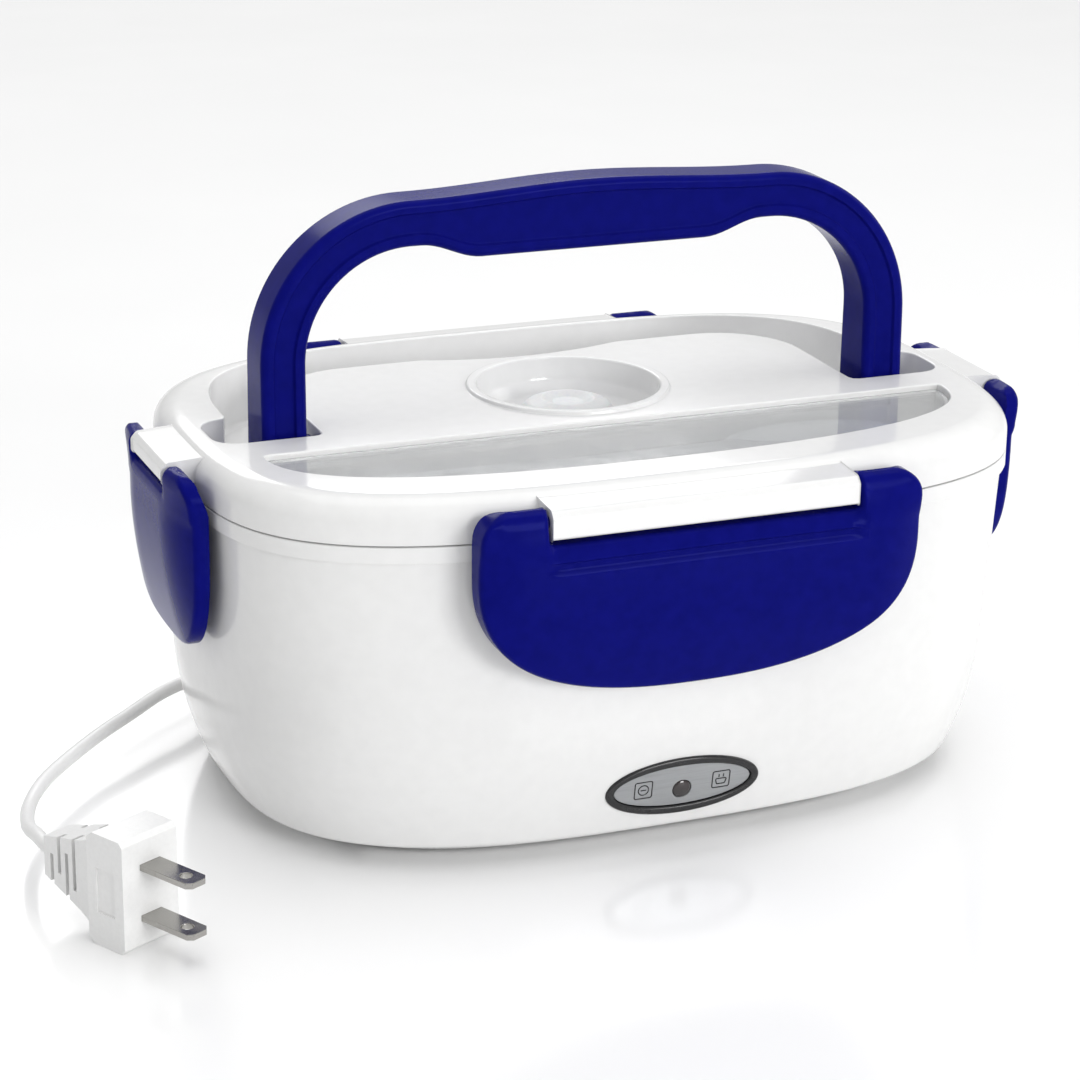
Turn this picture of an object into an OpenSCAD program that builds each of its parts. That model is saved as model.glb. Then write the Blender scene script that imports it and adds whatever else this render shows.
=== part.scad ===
// Electric lunch box: a heated base, a lift-off lid held by four latches, and a mains lead.
// Origin at the middle of the footprint on the surface it stands on, front face towards -Y, +Z up.

/* [Whole body] */
// Half length of the rim band and the lid skirt
half_len = 106.5; // [96:0.5:116]
// Half width of the rim band and the lid skirt
half_wid = 72.2; // [66:0.2:80]
// Squareness of the outline, 2 is an ellipse
squareness = 3.3; // [2.8:0.1:4]
// Height of the lid's rim above the table
rim_h = 96.5; // [92:0.5:102]
// Height of the lid's edge, from the seam to the rim
lid_edge_h = 11; // [10:0.25:12.5]
// Gap in the seam between the lid and the base
seam_gap = 0.3; // [0.2:0.1:0.6]
// Height of the band round the top of the base
band_h = 4.2; // [3:0.2:6]
// How far the band stands out from the base below it
band_step = 1; // [0.6:0.1:1.6]
// Wall of the base housing
wall = 2.4; // [2:0.1:3]
// Draft of the long sides and of the ends down to the foot of the base
draft_len = 3; // [2:0.2:5]
draft_wid = 1.7; // [1:0.1:3]
// How far the rounded foot turns in at the ends and at the sides
foot_turn_len = 5.8; // [4:0.2:8]
foot_turn_wid = 3.1; // [2:0.1:5]
// Height of the housing's bottom edge above the table
housing_bottom = 5.1; // [4.6:0.1:6]

/* [Bottom] */
// How far the plinth stands in from the housing's bottom edge
plinth_inset = 8; // [6:0.5:11]
// Height of the plinth's lower edge above the table
plinth_clear = 0.8; // [0.5:0.1:1.5]
// Wall of the plinth and thickness of the bottom plate
cover_wall = 2; // [1.6:0.1:2.4]
// Radius and height of a rubber foot
foot_r = 6.5; // [5:0.5:8]
foot_h = 2.4; // [2:0.1:3]
// Distance of the rubber feet in from the ends and from the sides
foot_in_len = 44.5; // [40:0.5:56]
foot_in_wid = 38.2; // [35:0.1:44]
// Distance of the housing's screw bosses in from the ends and from the sides
boss_in_len = 29.5; // [28:0.5:34]
boss_in_wid = 30.2; // [28.5:0.1:34]
// Radius of a screw boss and height of its top
boss_r = 4.6; // [4:0.1:5.5]
boss_top = 18; // [14:0.5:20]
// Radius of the screw's thread and of its head
screw_r = 1.5; // [1.2:0.1:1.8]
screw_head_r = 3; // [2.6:0.1:3.4]

/* [Lid] */
// Rounding of the lid's top edge
lid_round = 6.6; // [5:0.2:7]
// Wall of the lid's skirt and top
lid_wall = 2.1; // [1.8:0.1:2.4]
// Width of the rim beside the handle's channel, at the ends and at the back
rim_end_w = 15.5; // [13:0.1:16]
rim_back_w = 7.4; // [7.2:0.1:7.6]
// Squareness of the channel's outer edge
channel_square = 3.8; // [3.8:0.1:4.4]
// Room for a finger outside a handle's foot, and the rear edge of its pocket
pocket_room = 11.7; // [8:0.1:11.7]
pocket_back = 10.5; // [8:0.5:14]
// Corner radius of a pocket
pocket_r = 6; // [3:0.5:8]
// Depth of the handle's channel below the rim
channel_depth = 16.5; // [16:0.25:17]
// Front edge of the channel
channel_front = -10.3; // [-12:0.1:-10]
// Room between a handle's leg and the raised middle, and in front of the folded grip
leg_room = 3.6; // [3:0.1:6]
grip_room = 6.5; // [5:0.5:9]
// Corner radius of the raised middle
middle_corner = 22; // [14:1:28]
// Depth and radius of the dip that makes room for the grip's bulge
dip_depth = 5; // [3:0.5:6]
dip_r = 80; // [60:5:120]
// Wall of the channel, the compartment and the vent well
bay_wall = 1.4; // [1.2:0.1:1.6]

/* [Spoon compartment] */
// Distance of the compartment in from the ends of the lid, and its rear edge
comp_in = 15; // [14:0.5:20]
comp_back = -21.5; // [-24:0.5:-18]
// Width of the compartment from its rear edge to its curved front
comp_wid = 33.5; // [28:0.5:36]
// Squareness of its curved front
comp_square = 2.5; // [2.2:0.1:3]
// Depth of the compartment below the rim
comp_depth = 12; // [10:0.5:12.5]
// Width and depth of the ledge that the cover rests on
ledge_w = 1.4; // [1:0.1:1.6]
ledge_depth = 2.8; // [2.4:0.1:3.2]
// Thickness of the clear cover and the gap round it
cover_t = 1.6; // [1.2:0.1:2]
cover_gap = 0.35; // [0.3:0.05:0.5]
// Length of the spoon
spoon_len = 148; // [130:1:150]
// Half length and half width of the spoon's bowl
bowl_half_len = 23; // [20:0.5:24]
bowl_half_wid = 11.5; // [10:0.5:12]
// Depth of the spoon's bowl and thickness of the spoon
bowl_depth = 5.5; // [4:0.5:6]
spoon_t = 1.6; // [1.2:0.1:2]

/* [Vent] */
// Radius of the vent well at the top and place of its centre
vent_r = 23.9; // [20:0.1:25]
vent_y = 9; // [8:0.5:10]
// Depth of the well below the rim and radius of its floor
vent_depth = 10; // [8:0.5:11]
vent_floor_r = 17; // [16:0.5:19]
// Height and width of the well's raised lip
lip_h = 0.9; // [0.6:0.1:1.2]
lip_w = 2.6; // [2:0.1:3]
// Radius and height of the silicone plug
plug_r = 14.5; // [12:0.5:15.5]
plug_h = 6.6; // [5:0.2:7]
// Radius of the plug's stem and the gap round it
stem_r = 3.4; // [2.6:0.1:4]
stem_gap = 0.4; // [0.3:0.1:0.6]

/* [Latches] */
// Half length of the lid bar between a latch's ears, long side and end
long_bar_half = 39.5; // [34:0.5:42]
end_bar_half = 14; // [12:0.5:16]
// Width of an ear on the long side and on the end
long_ear_w = 17; // [14:0.5:19]
end_ear_w = 16; // [13:0.5:17]
// Gap between an ear and the end of its bar
ear_gap = 0.5; // [0.4:0.1:0.8]
// Distance of the hinge axis out from the lid's skirt, long side and end
long_axis_out = 3.7; // [3.6:0.1:4.4]
end_axis_out = 5.6; // [5:0.1:6.4]
// Depth of the hinge axis below the rim
axis_drop = 5.3; // [5:0.1:6]
// Radius of the ear round its hinge
ear_r = 3.6; // [3.2:0.05:3.65]
// Radius of the hinge pin and its running clearance
pin_r = 1.5; // [1.3:0.05:1.7]
pin_play = 0.08; // [0.05:0.01:0.1]
// Length of a hinge pin inside the bar
pin_len = 6; // [4:0.5:8]
// Depth of the latch's lower edge below the hinge axis, long side and end
long_latch_drop = 45.7; // [40:0.5:47]
end_latch_drop = 41; // [36:0.5:44]
// Height of the latch's rounded lower part, long side and end
long_curve_h = 33; // [26:1:36]
end_curve_h = 24; // [20:1:28]
// Depth of the latch's crossbar below the hinge axis
crossbar_drop = 9.4; // [8.6:0.1:11]
// How far the latch's face stands out from the hinge axis
belly_out = 5.2; // [4.6:0.1:6]
// How far its lower edge draws back in
tail_in = 6.2; // [4:0.2:7]
// Length and depth of the rounding at each side of its face
side_turn_len = 13; // [8:0.5:14]
side_turn_in = 3; // [1:0.2:4]
// Wall of a latch
latch_wall = 2; // [1.6:0.1:2.4]
// Gap between the latch and the lid's skirt
latch_gap = 0.6; // [0.5:0.05:0.8]
// How far the catch rib stands out from the housing, and its height
catch_out = 1.4; // [1.2:0.1:1.4]
catch_h = 3.4; // [2.5:0.1:4.5]
// Depth of the catch rib's top below the hinge axis
catch_drop = 26; // [24:0.5:28]
// Clearance between the latch's hook rib and the catch rib
hook_gap = 0.35; // [0.3:0.05:0.5]

/* [Handle] */
// Distance of the handle's outer edge in from the ends of the body
handle_in = 19; // [18.5:0.25:22.5]
// Width of a leg and of the grip
leg_w = 11.5; // [10:0.25:12.5]
// Gap between the folded grip and the channel's rear edge
grip_gap = 0.8; // [0.6:0.1:3]
// Outer corner radius and arch of the grip
handle_corner = 39; // [34:0.5:42]
handle_arch = 2; // [1:0.25:3]
// Thickness of the handle at the pivots and at the grip
leg_depth = 15; // [13:0.25:15.5]
grip_depth = 12.6; // [10:0.2:13.5]
// Depth and half length of the finger bulge under the grip
bulge_depth = 4; // [2:0.5:5]
bulge_half = 34; // [26:1:40]
// Length of the slope at each end of the bulge
bulge_slope = 6; // [3:0.5:10]
// Pivot place: Y and depth below the rim
pivot_y = -2; // [-2.4:0.1:-1.8]
pivot_drop = 8; // [7.8:0.1:8.4]
// Radius of a pivot pin
pivot_r = 3; // [2.4:0.1:3.4]
// Rounding of the handle's edges
handle_round = 1.8; // [1:0.1:2]
// Width of the border round its recessed faces, and their depth
border_w = 2.8; // [2.2:0.1:3.4]
recess_depth = 0.8; // [0.4:0.1:1.2]
// Radius of the round boss on the inside of each leg
handle_boss_r = 5.6; // [5:0.1:6]

/* [Food trays] */
// Depth of the food tray's flange below the seam
tray_drop = 10; // [9:0.5:11]
// Thickness of the tray's sheet
tray_t = 1; // [0.8:0.1:1.2]
// Height of the heater plate's top above the table
plate_top = 29; // [27:0.5:32]
// Inset of the tray's mouth from the outline, and its further draw-in at the bottom
mouth_inset = 13; // [12.6:0.1:14]
tray_draw = 6.5; // [5:0.5:9]
// Bottom radius of the tray
tray_round = 6; // [4:0.5:9]
// Width and depth of the shoulder that carries the side dish
shoulder_w = 2.2; // [1.8:0.1:2.6]
shoulder_depth = 2.4; // [2:0.1:3]
// Left edge and depth of the side dish
dish_left = 22; // [10:1:40]
dish_depth = 28; // [20:1:36]
// Wall of the side dish
dish_t = 1.4; // [1:0.1:1.8]

/* [Seal and liner] */
// Wall of the lid liner
liner_t = 1.2; // [1:0.1:1.3]
// Thickness of the liner's plate
liner_plate = 1.5; // [1.2:0.1:1.8]
// Height of the silicone seal's lip
seal_h = 1.1; // [0.8:0.1:1.4]
// Inset of the seal's outer edge and width of its lip
seal_inset = 5.4; // [5:0.1:6]
seal_w = 5.6; // [4:0.1:6.4]

/* [Heater] */
// Distance of the heating plate's edge in from the ends and from the sides
plate_in_len = 45.5; // [42:0.5:52]
plate_in_wid = 35.2; // [33:0.1:42]
// Thickness of the plate and width of the flange under it
plate_t = 2.9; // [2.5:0.1:3.5]
plate_flange = 5; // [3:0.5:6]
// Size of the heater block
ptc_len = 70; // [60:1:76]
ptc_wid = 34; // [28:1:38]
ptc_h = 7; // [6:0.5:8]
// Thickness and width of the steel strap under it
strap_t = 1.2; // [1:0.1:1.6]
strap_w = 20; // [14:1:24]
// Length of each foot of the strap
strap_foot = 12; // [10:0.5:14]
// Radius and height of the thermostat
stat_r = 7.5; // [6:0.5:8]
stat_h = 8; // [6:0.5:9]

/* [Indicator panel] */
// Half length and half height of the bezel
bezel_half_len = 20.5; // [17:0.5:22]
bezel_half_h = 7.8; // [6.5:0.1:8]
// Width of the bezel's ring
bezel_w = 2.1; // [1.6:0.1:2.6]
// Height of the panel's middle above the table, and its tilt
panel_z = 16.2; // [15:0.2:18]
panel_tilt = 9; // [5:1:12]
// Radius of the indicator lens
lens_r = 2.4; // [1.8:0.1:3]

/* [Mains lead] */
// Place of the inlet's middle on the back
inlet_x = -45; // [-50:1:-40]
inlet_z = 20; // [19:0.5:22]
// Length, height and gap of the inlet's socket
inlet_len = 23.6; // [22:0.2:26]
inlet_h = 12; // [11:0.2:14]
inlet_gap = 0.25; // [0.15:0.05:0.4]
// Radius and spacing of the two round contacts
contact_r = 1.2; // [1:0.1:1.4]
contact_pitch = 8.6; // [8:0.1:9.2]
// Radius of each lobe of the connector's nose
nose_r = 3.9; // [3.5:0.1:4.2]
// Diameter of the cord
cord_d = 3.6; // [3:0.1:4.2]
// Radius of the coil's outer loop and step from loop to loop
coil_r = 28; // [26:0.5:30]
coil_step = 4.2; // [4.1:0.1:4.6]
// Loops in each of the coil's two layers
coil_loops = 2.5; // [1.5:1:2.5]
// Height and thickness of the mains plug
mains_h = 28; // [26:0.5:30]
mains_t = 17; // [15:0.5:20]
// Length of the plug's body and of its strain relief
mains_len = 12; // [10:0.5:16]
relief_len = 20; // [16:0.5:24]
// Spacing, width, thickness and length of the two blades
blade_pitch = 12.7; // [12.7:0.1:12.8]
blade_w = 6.3; // [6.2:0.1:6.5]
blade_t = 1.5; // [1.4:0.1:1.6]
blade_len = 16; // [15:0.5:18.5]

/* [Hidden] */
$fn = 48;

ring_points = 64;
fit = 0.3;
flange_t = 2;
hair = 0.01;

// Places that follow from the outline and from the handle
foot_x = half_len - foot_in_len;
foot_y = half_wid - foot_in_wid;
boss_x = half_len - boss_in_len;
boss_y = half_wid - boss_in_wid;
plate_half_len = half_len - plate_in_len;
plate_half_wid = half_wid - plate_in_wid;
comp_half = half_len - comp_in;
handle_half = half_len - handle_in;
handle_rise = half_wid - rim_back_w - pivot_y - grip_gap;
middle_half = handle_half - leg_w - leg_room;
middle_back = pivot_y + handle_rise - handle_arch - leg_w - grip_room;
pocket_half = handle_half + pocket_room;

// Heights
seam_z = rim_h - lid_edge_h;
band_top = seam_z - seam_gap;
band_bottom = band_top - band_h;
tray_top = seam_z - tray_drop;
well_top = tray_top - tray_t - 0.1;
well_flange_t = 1.8;
ledge_t = 2.4;
ledge_top = well_top - well_flange_t;
channel_floor = rim_h - channel_depth;
comp_floor = rim_h - comp_depth;
cover_seat = rim_h - ledge_depth;
vent_floor = rim_h - vent_depth;
axis_z = rim_h - axis_drop;
pivot_z = rim_h - pivot_drop;
seal_bottom = tray_top + 0.2;
liner_bottom = seal_bottom + seal_h;
plate_bottom = plate_top - plate_t;
well_floor = plate_bottom;
strap_z = plate_bottom - flange_t - ptc_h - strap_t;

// Insets from the outline, from the outside in
housing_inner = band_step + wall;
well_inset = housing_inner + 0.5;
tray_inset = well_inset + 0.6;
ledge_inset = 9;
liner_inset = housing_inner + 0.8;
well_wall_inset = ledge_inset + 0.6;
well_t = 1.6;
well_draw = 6.4;

white = [0.94, 0.94, 0.93];
blue = [0.10, 0.10, 0.62];
steel = [0.78, 0.79, 0.80];
dark = [0.12, 0.12, 0.13];
grey = [0.62, 0.63, 0.64];
brass = [0.80, 0.66, 0.36];
silicone = [0.86, 0.87, 0.88];

function sgn(v) = v < 0 ? -1 : 1;

// Point of a superellipse at angle t
function square_round(a, b, n, t) =
    [a * sgn(cos(t)) * pow(abs(cos(t)), 2 / n), b * sgn(sin(t)) * pow(abs(sin(t)), 2 / n)];

// Closed outline of the body, drawn in by inset
function outline(inset, n = squareness) =
    [for (i = [0:ring_points - 1])
        square_round(half_len - inset, half_wid - inset, n, 360 * i / ring_points)];

// Solid through a stack of rings, each [height, half length, half width, squareness]
module loft(stack) {
    m = ring_points;
    last = (len(stack) - 1) * m;
    points = [for (r = stack) for (i = [0:m - 1])
        concat(square_round(r[1], r[2], r[3], 360 * i / m), r[0])];
    sides = [for (j = [0:len(stack) - 2]) for (i = [0:m - 1])
        let (a = j * m + i, b = j * m + (i + 1) % m)
        each [[a, a + m, b], [b, a + m, b + m]]];
    polyhedron(points, concat([[for (i = [0:m - 1]) i]], sides, [[for (i = [m - 1:-1:0]) last + i]]));
}

// Straight-sided solid on the body's outline
module slab(z0, z1, inset) {
    translate([0, 0, z0]) linear_extrude(z1 - z0) polygon(outline(inset));
}

// Half length, half width and squareness of the housing below its band, u from 0 at the band to 1
function housing_ring(u, inset) =
    let (turn = pow(max(0, (u - 0.6) / 0.4), 2.2))
    [half_len - band_step - draft_len * u - foot_turn_len * turn - inset,
     half_wid - band_step - draft_wid * u - foot_turn_wid * turn - inset,
     squareness - 0.3 * u];
function housing_height(u) = band_bottom + (housing_bottom - band_bottom) * u;
function foot_ring(inset) = housing_ring(1, inset);

function lower_rings(inset) =
    [for (u = [1, 0.94, 0.88, 0.8, 0.7, 0.58, 0.3, 0]) concat(housing_height(u), housing_ring(u, inset))];
module housing_outer() {
    loft(concat(lower_rings(0),
        [[band_bottom + 0.3, half_len, half_wid, squareness],
         [band_top - 0.3, half_len, half_wid, squareness],
         [band_top, half_len - 0.3, half_wid - 0.3, squareness]]));
}

module housing_cavity() {
    steps = [0.94, 0.88, 0.8, 0.7, 0.5];
    last = housing_ring(1, wall);
    lowest = concat(housing_bottom - 1, last);
    ledge_u = (band_bottom - (ledge_top - ledge_t)) / (band_bottom - housing_bottom);
    loft(concat([lowest], [for (u = steps) concat(housing_height(u), housing_ring(u, wall))],
        [concat(ledge_top - ledge_t, housing_ring(ledge_u, wall))]));
}

// Closed path of points swept as a round tube
function unit(v) = v / norm(v);
function tangent(path, i) = unit(path[min(i + 1, len(path) - 1)] - path[max(i - 1, 0)]);
module tube(path, radius, sides) {
    k = len(path);
    points = [for (i = [0:k - 1])
        let (t = tangent(path, i), across = unit(cross(t, [0, 0, 1])), up = cross(across, t))
        for (j = [0:sides - 1])
            let (a = 360 * (j + 0.5) / sides)
            path[i] + radius * (cos(a) * across - sin(a) * up)];
    body = [for (i = [0:k - 2]) for (j = [0:sides - 1])
        let (a = i * sides + j, b = i * sides + (j + 1) % sides)
        each [[a, a + sides, b], [b, a + sides, b + sides]]];
    first = [for (j = [0:sides - 1]) j];
    end = [for (j = [sides - 1:-1:0]) (k - 1) * sides + j];
    polyhedron(points, concat([first], body, [end]));
}

// Smooth curve through hand-picked points, with a given number of steps between them
function curve_point(a, b, c, d, t) =
    0.5 * ((2 * b) + (c - a) * t + (2 * a - 5 * b + 4 * c - d) * t * t + (3 * b - a - 3 * c + d) * t * t * t);
function smooth(p, steps) = concat(
    [for (i = [0:len(p) - 2]) for (s = [0:steps - 1])
        curve_point(p[max(i - 1, 0)], p[i], p[i + 1], p[min(i + 2, len(p) - 1)], s / steps)],
    [p[len(p) - 1]]);
function path_length(p, i = 0) = i >= len(p) - 1 ? 0 : norm(p[i + 1] - p[i]) + path_length(p, i + 1);

// Frame of the indicator panel: X along it, Y up it, Z out of the housing
panel_out = half_wid - band_step - draft_wid - 1.6;
module on_panel() {
    translate([0, -panel_out, panel_z]) rotate([90 + panel_tilt, 0, 0]) children();
}
module oval(half_x, half_y, z0, z1) {
    translate([0, 0, z0]) linear_extrude(z1 - z0)
        polygon([for (i = [0:ring_points - 1]) square_round(half_x, half_y, 2, 360 * i / ring_points)]);
}

// Base

module boss_web(top) {
    for (sx = [-1, 1]) for (sy = [-1, 1])
        translate([sx * boss_x, sy * boss_y, 0]) {
            translate([0, 0, plate_seat]) cylinder(h = top - plate_seat, r = boss_r);
            rotate([0, 0, sx * sy * web_angle + (sx < 0 ? 180 : 0)])
                translate([0, -web_t / 2, plate_seat + 1]) cube([web_reach, web_t, top - plate_seat - 2]);
        }
}
plate_seat = housing_bottom + 1.1;
web_angle = 32;
web_reach = 22;
web_t = 2;

// Ribs on the housing that the latches hook behind
module catch_rib(half, plane, reach) {
    top = axis_z - catch_drop;
    translate([-half, 0, 0]) rotate([90, 0, 90]) linear_extrude(2 * half) polygon([
        [-plane + wall, top + 2], [-plane - catch_out + 1, top], [-plane - catch_out, top - 0.8],
        [-plane - catch_out, top - catch_h], [-plane + wall, top - catch_h]]);
}
long_catch = long_bar_half - 12;
end_catch = end_bar_half - 3;
module on_sides_long() {
    for (a = [0, 180]) rotate([0, 0, a]) children();
}
module on_sides_end() {
    for (a = [-90, 90]) rotate([0, 0, a]) children();
}

inlet_pad = half_wid - 3.4;
inlet_back = inlet_pad - 10.8;
pad_frame = 3;
module inlet_box(grow, y0, y1) {
    translate([inlet_x - inlet_len / 2 - grow, y0, inlet_z - inlet_h / 2 - grow])
        cube([inlet_len + 2 * grow, y1 - y0, inlet_h + 2 * grow]);
}

seat_gap = 0.2;
barrel_inset = 1.4;
barrel_wall = 1.7;

module base_housing() {
    color(white) difference() {
        union() {
            difference() {
                housing_outer();
                housing_cavity();
                slab(ledge_top - ledge_t - 1, ledge_top + 1, ledge_inset);
                slab(ledge_top, band_top + 1, housing_inner);
            }
            intersection() {
                boss_web(boss_top);
                loft(lower_rings(wall / 2));
            }
            inlet_box(pad_frame, inlet_back, inlet_pad);
            on_sides_long() catch_rib(long_catch, half_wid - band_step, 0);
            on_sides_end() catch_rib(end_catch, half_len - band_step, 0);
        }
        inlet_box(inlet_gap, inlet_back - 1, inlet_pad + 1);
        for (sx = [-1, 1]) for (sy = [-1, 1])
            translate([sx * boss_x, sy * boss_y, 0]) cylinder(h = boss_top - 1.5, r = screw_r);
        on_panel() {
            oval(bezel_half_len + seat_gap, bezel_half_h + seat_gap, 0, 6);
            oval(bezel_half_len - barrel_inset + seat_gap, bezel_half_h - barrel_inset + seat_gap, -9, 1);
        }
    }
}
module plinth_ring(inset, z0, z1) {
    r = foot_ring(inset);
    loft([[z0, r[0] - 0.6, r[1] - 0.6, r[2]], [z1, r[0], r[1], r[2]]]);
}
module bottom_cover() {
    plate = foot_ring(wall + 0.5);
    plate_z = plate_seat - cover_wall;
    color(white) difference() {
        union() {
            loft([concat(plate_z, plate), concat(plate_seat, plate)]);
            difference() {
                plinth_ring(plinth_inset, plinth_clear, plate_z + hair);
                plinth_ring(plinth_inset + cover_wall, plinth_clear - 1, plate_z);
            }
            for (sx = [-1, 1]) for (sy = [-1, 1])
                translate([sx * foot_x, sy * foot_y, foot_h]) cylinder(h = plate_z - foot_h + hair, r = foot_r + 1.5);
        }
        for (sx = [-1, 1]) for (sy = [-1, 1]) {
            translate([sx * foot_x, sy * foot_y, 0]) cylinder(h = plate_seat - 0.6, r = foot_stem_r + 0.05);
            translate([sx * boss_x, sy * boss_y, 0]) cylinder(h = plate_seat + 1, r = screw_r + 0.2);
            translate([sx * boss_x, sy * boss_y, -1]) cylinder(h = plate_z + 2, r = screw_head_r + 0.4);
        }
    }
}
foot_stem_r = 2;

module rubber_feet() {
    color(dark) for (sx = [-1, 1]) for (sy = [-1, 1])
        translate([sx * foot_x, sy * foot_y, 0]) {
            cylinder(h = foot_h, r1 = foot_r - 0.5, r2 = foot_r);
            cylinder(h = plate_seat - 0.8, r = foot_stem_r);
        }
}

module housing_screws() {
    head_z = plate_seat - cover_wall + 1;
    color(steel) for (sx = [-1, 1]) for (sy = [-1, 1])
        translate([sx * boss_x, sy * boss_y, 0]) {
            translate([0, 0, head_z - 1.4]) cylinder(h = 1.4, r = screw_head_r);
            translate([0, 0, head_z - 0.2]) cylinder(h = boss_top - 4 - head_z, r = screw_r - 0.02);
        }
}

// Heater

function well_stack(thick) = [
    [well_floor + thick, well_wall_inset + well_draw + 3 + thick],
    [well_floor + thick + 0.9, well_wall_inset + well_draw + 0.9 + thick],
    [well_floor + thick + 3, well_wall_inset + well_draw + thick],
    [ledge_top + thick, well_wall_inset + thick]];
module inset_loft(stack) {
    loft([for (r = stack) [r[0], half_len - r[1], half_wid - r[1], squareness]]);
}

module pad(half_x, half_y, z0, z1) {
    translate([0, 0, z0]) linear_extrude(z1 - z0)
        polygon([for (i = [0:ring_points - 1]) square_round(half_x, half_y, 2.6, 360 * i / ring_points)]);
}

module heater_well() {
    color(steel) difference() {
        union() {
            slab(ledge_top, well_top, well_inset);
            inset_loft(well_stack(0));
        }
        inset_loft(well_stack(well_t));
        slab(ledge_top + well_t - hair, well_top + 1, well_wall_inset + well_t);
        pad(plate_half_len + fit, plate_half_wid + fit, well_floor - 1, well_floor + well_t + 1);
    }
}

module heating_plate() {
    color(grey) difference() {
        union() {
            pad(plate_half_len, plate_half_wid, plate_bottom - hair, plate_top);
            pad(plate_half_len + plate_flange, plate_half_wid + plate_flange, plate_bottom - flange_t, plate_bottom);
        }
        for (sx = [-1, 1]) translate([sx * strap_screw_x, 0, plate_bottom - flange_t - 1])
            cylinder(h = flange_t + 2.5, r = screw_r);
    }
}
strap_screw_x = ptc_len / 2 + 2 + strap_foot * 0.6;

module ptc_heater() {
    z = plate_bottom - flange_t - ptc_h;
    color(grey) {
        difference() {
            translate([-ptc_len / 2, -ptc_wid / 2, z]) cube([ptc_len, ptc_wid, ptc_h]);
            for (i = [-3:3]) translate([i * ptc_len / 8, 0, z + ptc_h / 2])
                cube([1.2, ptc_wid + 2, ptc_h * 0.4], center = true);
        }
        for (s = [-1, 1]) translate([ptc_len / 2 - 8, s * (ptc_wid / 2 + 2), z + ptc_h / 2])
            cube([5, 4 + hair, 0.8], center = true);
    }
}

module heater_bracket() {
    half = ptc_len / 2 + 0.4;
    foot_z = plate_bottom - flange_t - strap_t;
    color(steel) difference() {
        union() {
            translate([-half, -strap_w / 2, strap_z]) cube([2 * half, strap_w, strap_t]);
            for (s = [-1, 1]) scale_x(s) {
                translate([half, -strap_w / 2, strap_z]) cube([strap_t, strap_w, foot_z + strap_t - strap_z]);
                translate([half, -strap_w / 2, foot_z]) cube([strap_foot + strap_t, strap_w, strap_t]);
            }
        }
        for (sx = [-1, 1]) translate([sx * strap_screw_x, 0, foot_z - 1]) cylinder(h = strap_t + 2, r = screw_r + 0.2);
    }
    color(steel) for (sx = [-1, 1]) translate([sx * strap_screw_x, 0, 0]) {
        translate([0, 0, foot_z - 1.6]) cylinder(h = 1.6, r = screw_head_r);
        translate([0, 0, foot_z - 0.2]) cylinder(h = strap_t + flange_t + 1, r = screw_r - 0.02);
    }
}
module scale_x(s) {
    if (s < 0) mirror([1, 0, 0]) children();
    else children();
}

stat_x = -24;
tab_len = 5;
side_y = plate_half_wid + plate_flange - stat_r - 4.5;
module thermostat() {
    z = plate_bottom - flange_t - stat_h;
    color(dark) translate([stat_x, side_y, z]) {
        cylinder(h = stat_h, r = stat_r);
        translate([0, 0, stat_h - 1.2]) cylinder(h = 1.2, r = stat_r + 1);
    }
    color(steel) for (s = [-1, 1]) translate([stat_x + s * 4, side_y, tab_z]) cube([0.8, 5, tab_len], center = true);
}

fuse_x = 22;
fuse_r = 2;
fuse_z = plate_bottom - flange_t - fuse_r - 1;
module thermal_fuse() {
    color(steel) {
        translate([fuse_x - 7, side_y, fuse_z]) rotate([0, 90, 0]) cylinder(h = 14, r = fuse_r);
        for (s = [-1, 1]) translate([fuse_x + s * 9, side_y, fuse_z]) rotate([0, 90, 0]) cylinder(h = 5, r = 0.5, center = true);
    }
    color(white) difference() {
        translate([fuse_x - 3, side_y - 3.5, fuse_z - 3]) cube([6, 7, plate_bottom - flange_t - fuse_z + 3]);
        translate([fuse_x - 4, side_y, fuse_z]) rotate([0, 90, 0]) cylinder(h = 8, r = fuse_r + 0.02);
    }
}

// Indicator

board_t = 1.6;
barrel_depth = 4.5;
lens_drop = 1.2;
module panel_bezel() {
    color(dark) on_panel() {
        difference() {
            oval(bezel_half_len, bezel_half_h, 0, 1.3);
            oval(bezel_half_len - bezel_w, bezel_half_h - bezel_w, -1, 2);
        }
        difference() {
            oval(bezel_half_len - barrel_inset, bezel_half_h - barrel_inset, -barrel_depth, hair);
            oval(bezel_half_len - barrel_inset - barrel_wall, bezel_half_h - barrel_inset - barrel_wall, -barrel_depth - 1, 1);
        }
    }
}
module panel_face() {
    color(grey) on_panel() difference() {
        oval(bezel_half_len - bezel_w - 0.2, bezel_half_h - bezel_w - 0.2, 0.02, 0.6);
        translate([0, -lens_drop, -1]) cylinder(h = 3, r = lens_r + 0.1);
    }
}
module indicator_lens() {
    color(dark) on_panel() translate([0, -lens_drop, 0]) {
        translate([0, 0, -3]) cylinder(h = 3.9, r = lens_r);
        translate([0, 0, -1.3]) cylinder(h = 1.3, r = lens_r + 0.8);
    }
}
module indicator_board() {
    half_u = bezel_half_len - barrel_inset;
    half_v = bezel_half_h - barrel_inset - 0.4;
    color([0.16, 0.42, 0.24]) on_panel() translate([-half_u, -half_v, -barrel_depth - board_t - 0.02])
        cube([2 * half_u, 2 * half_v, board_t]);
    color(dark) on_panel() {
        translate([0, -lens_drop, -barrel_depth - 0.05]) cylinder(h = barrel_depth - 3.1, r = 1.5);
        for (s = [-1, 1]) translate([s * 9, 1, -barrel_depth - 0.05]) cylinder(h = 1.8, r = 1.6);
    }
}

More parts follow.
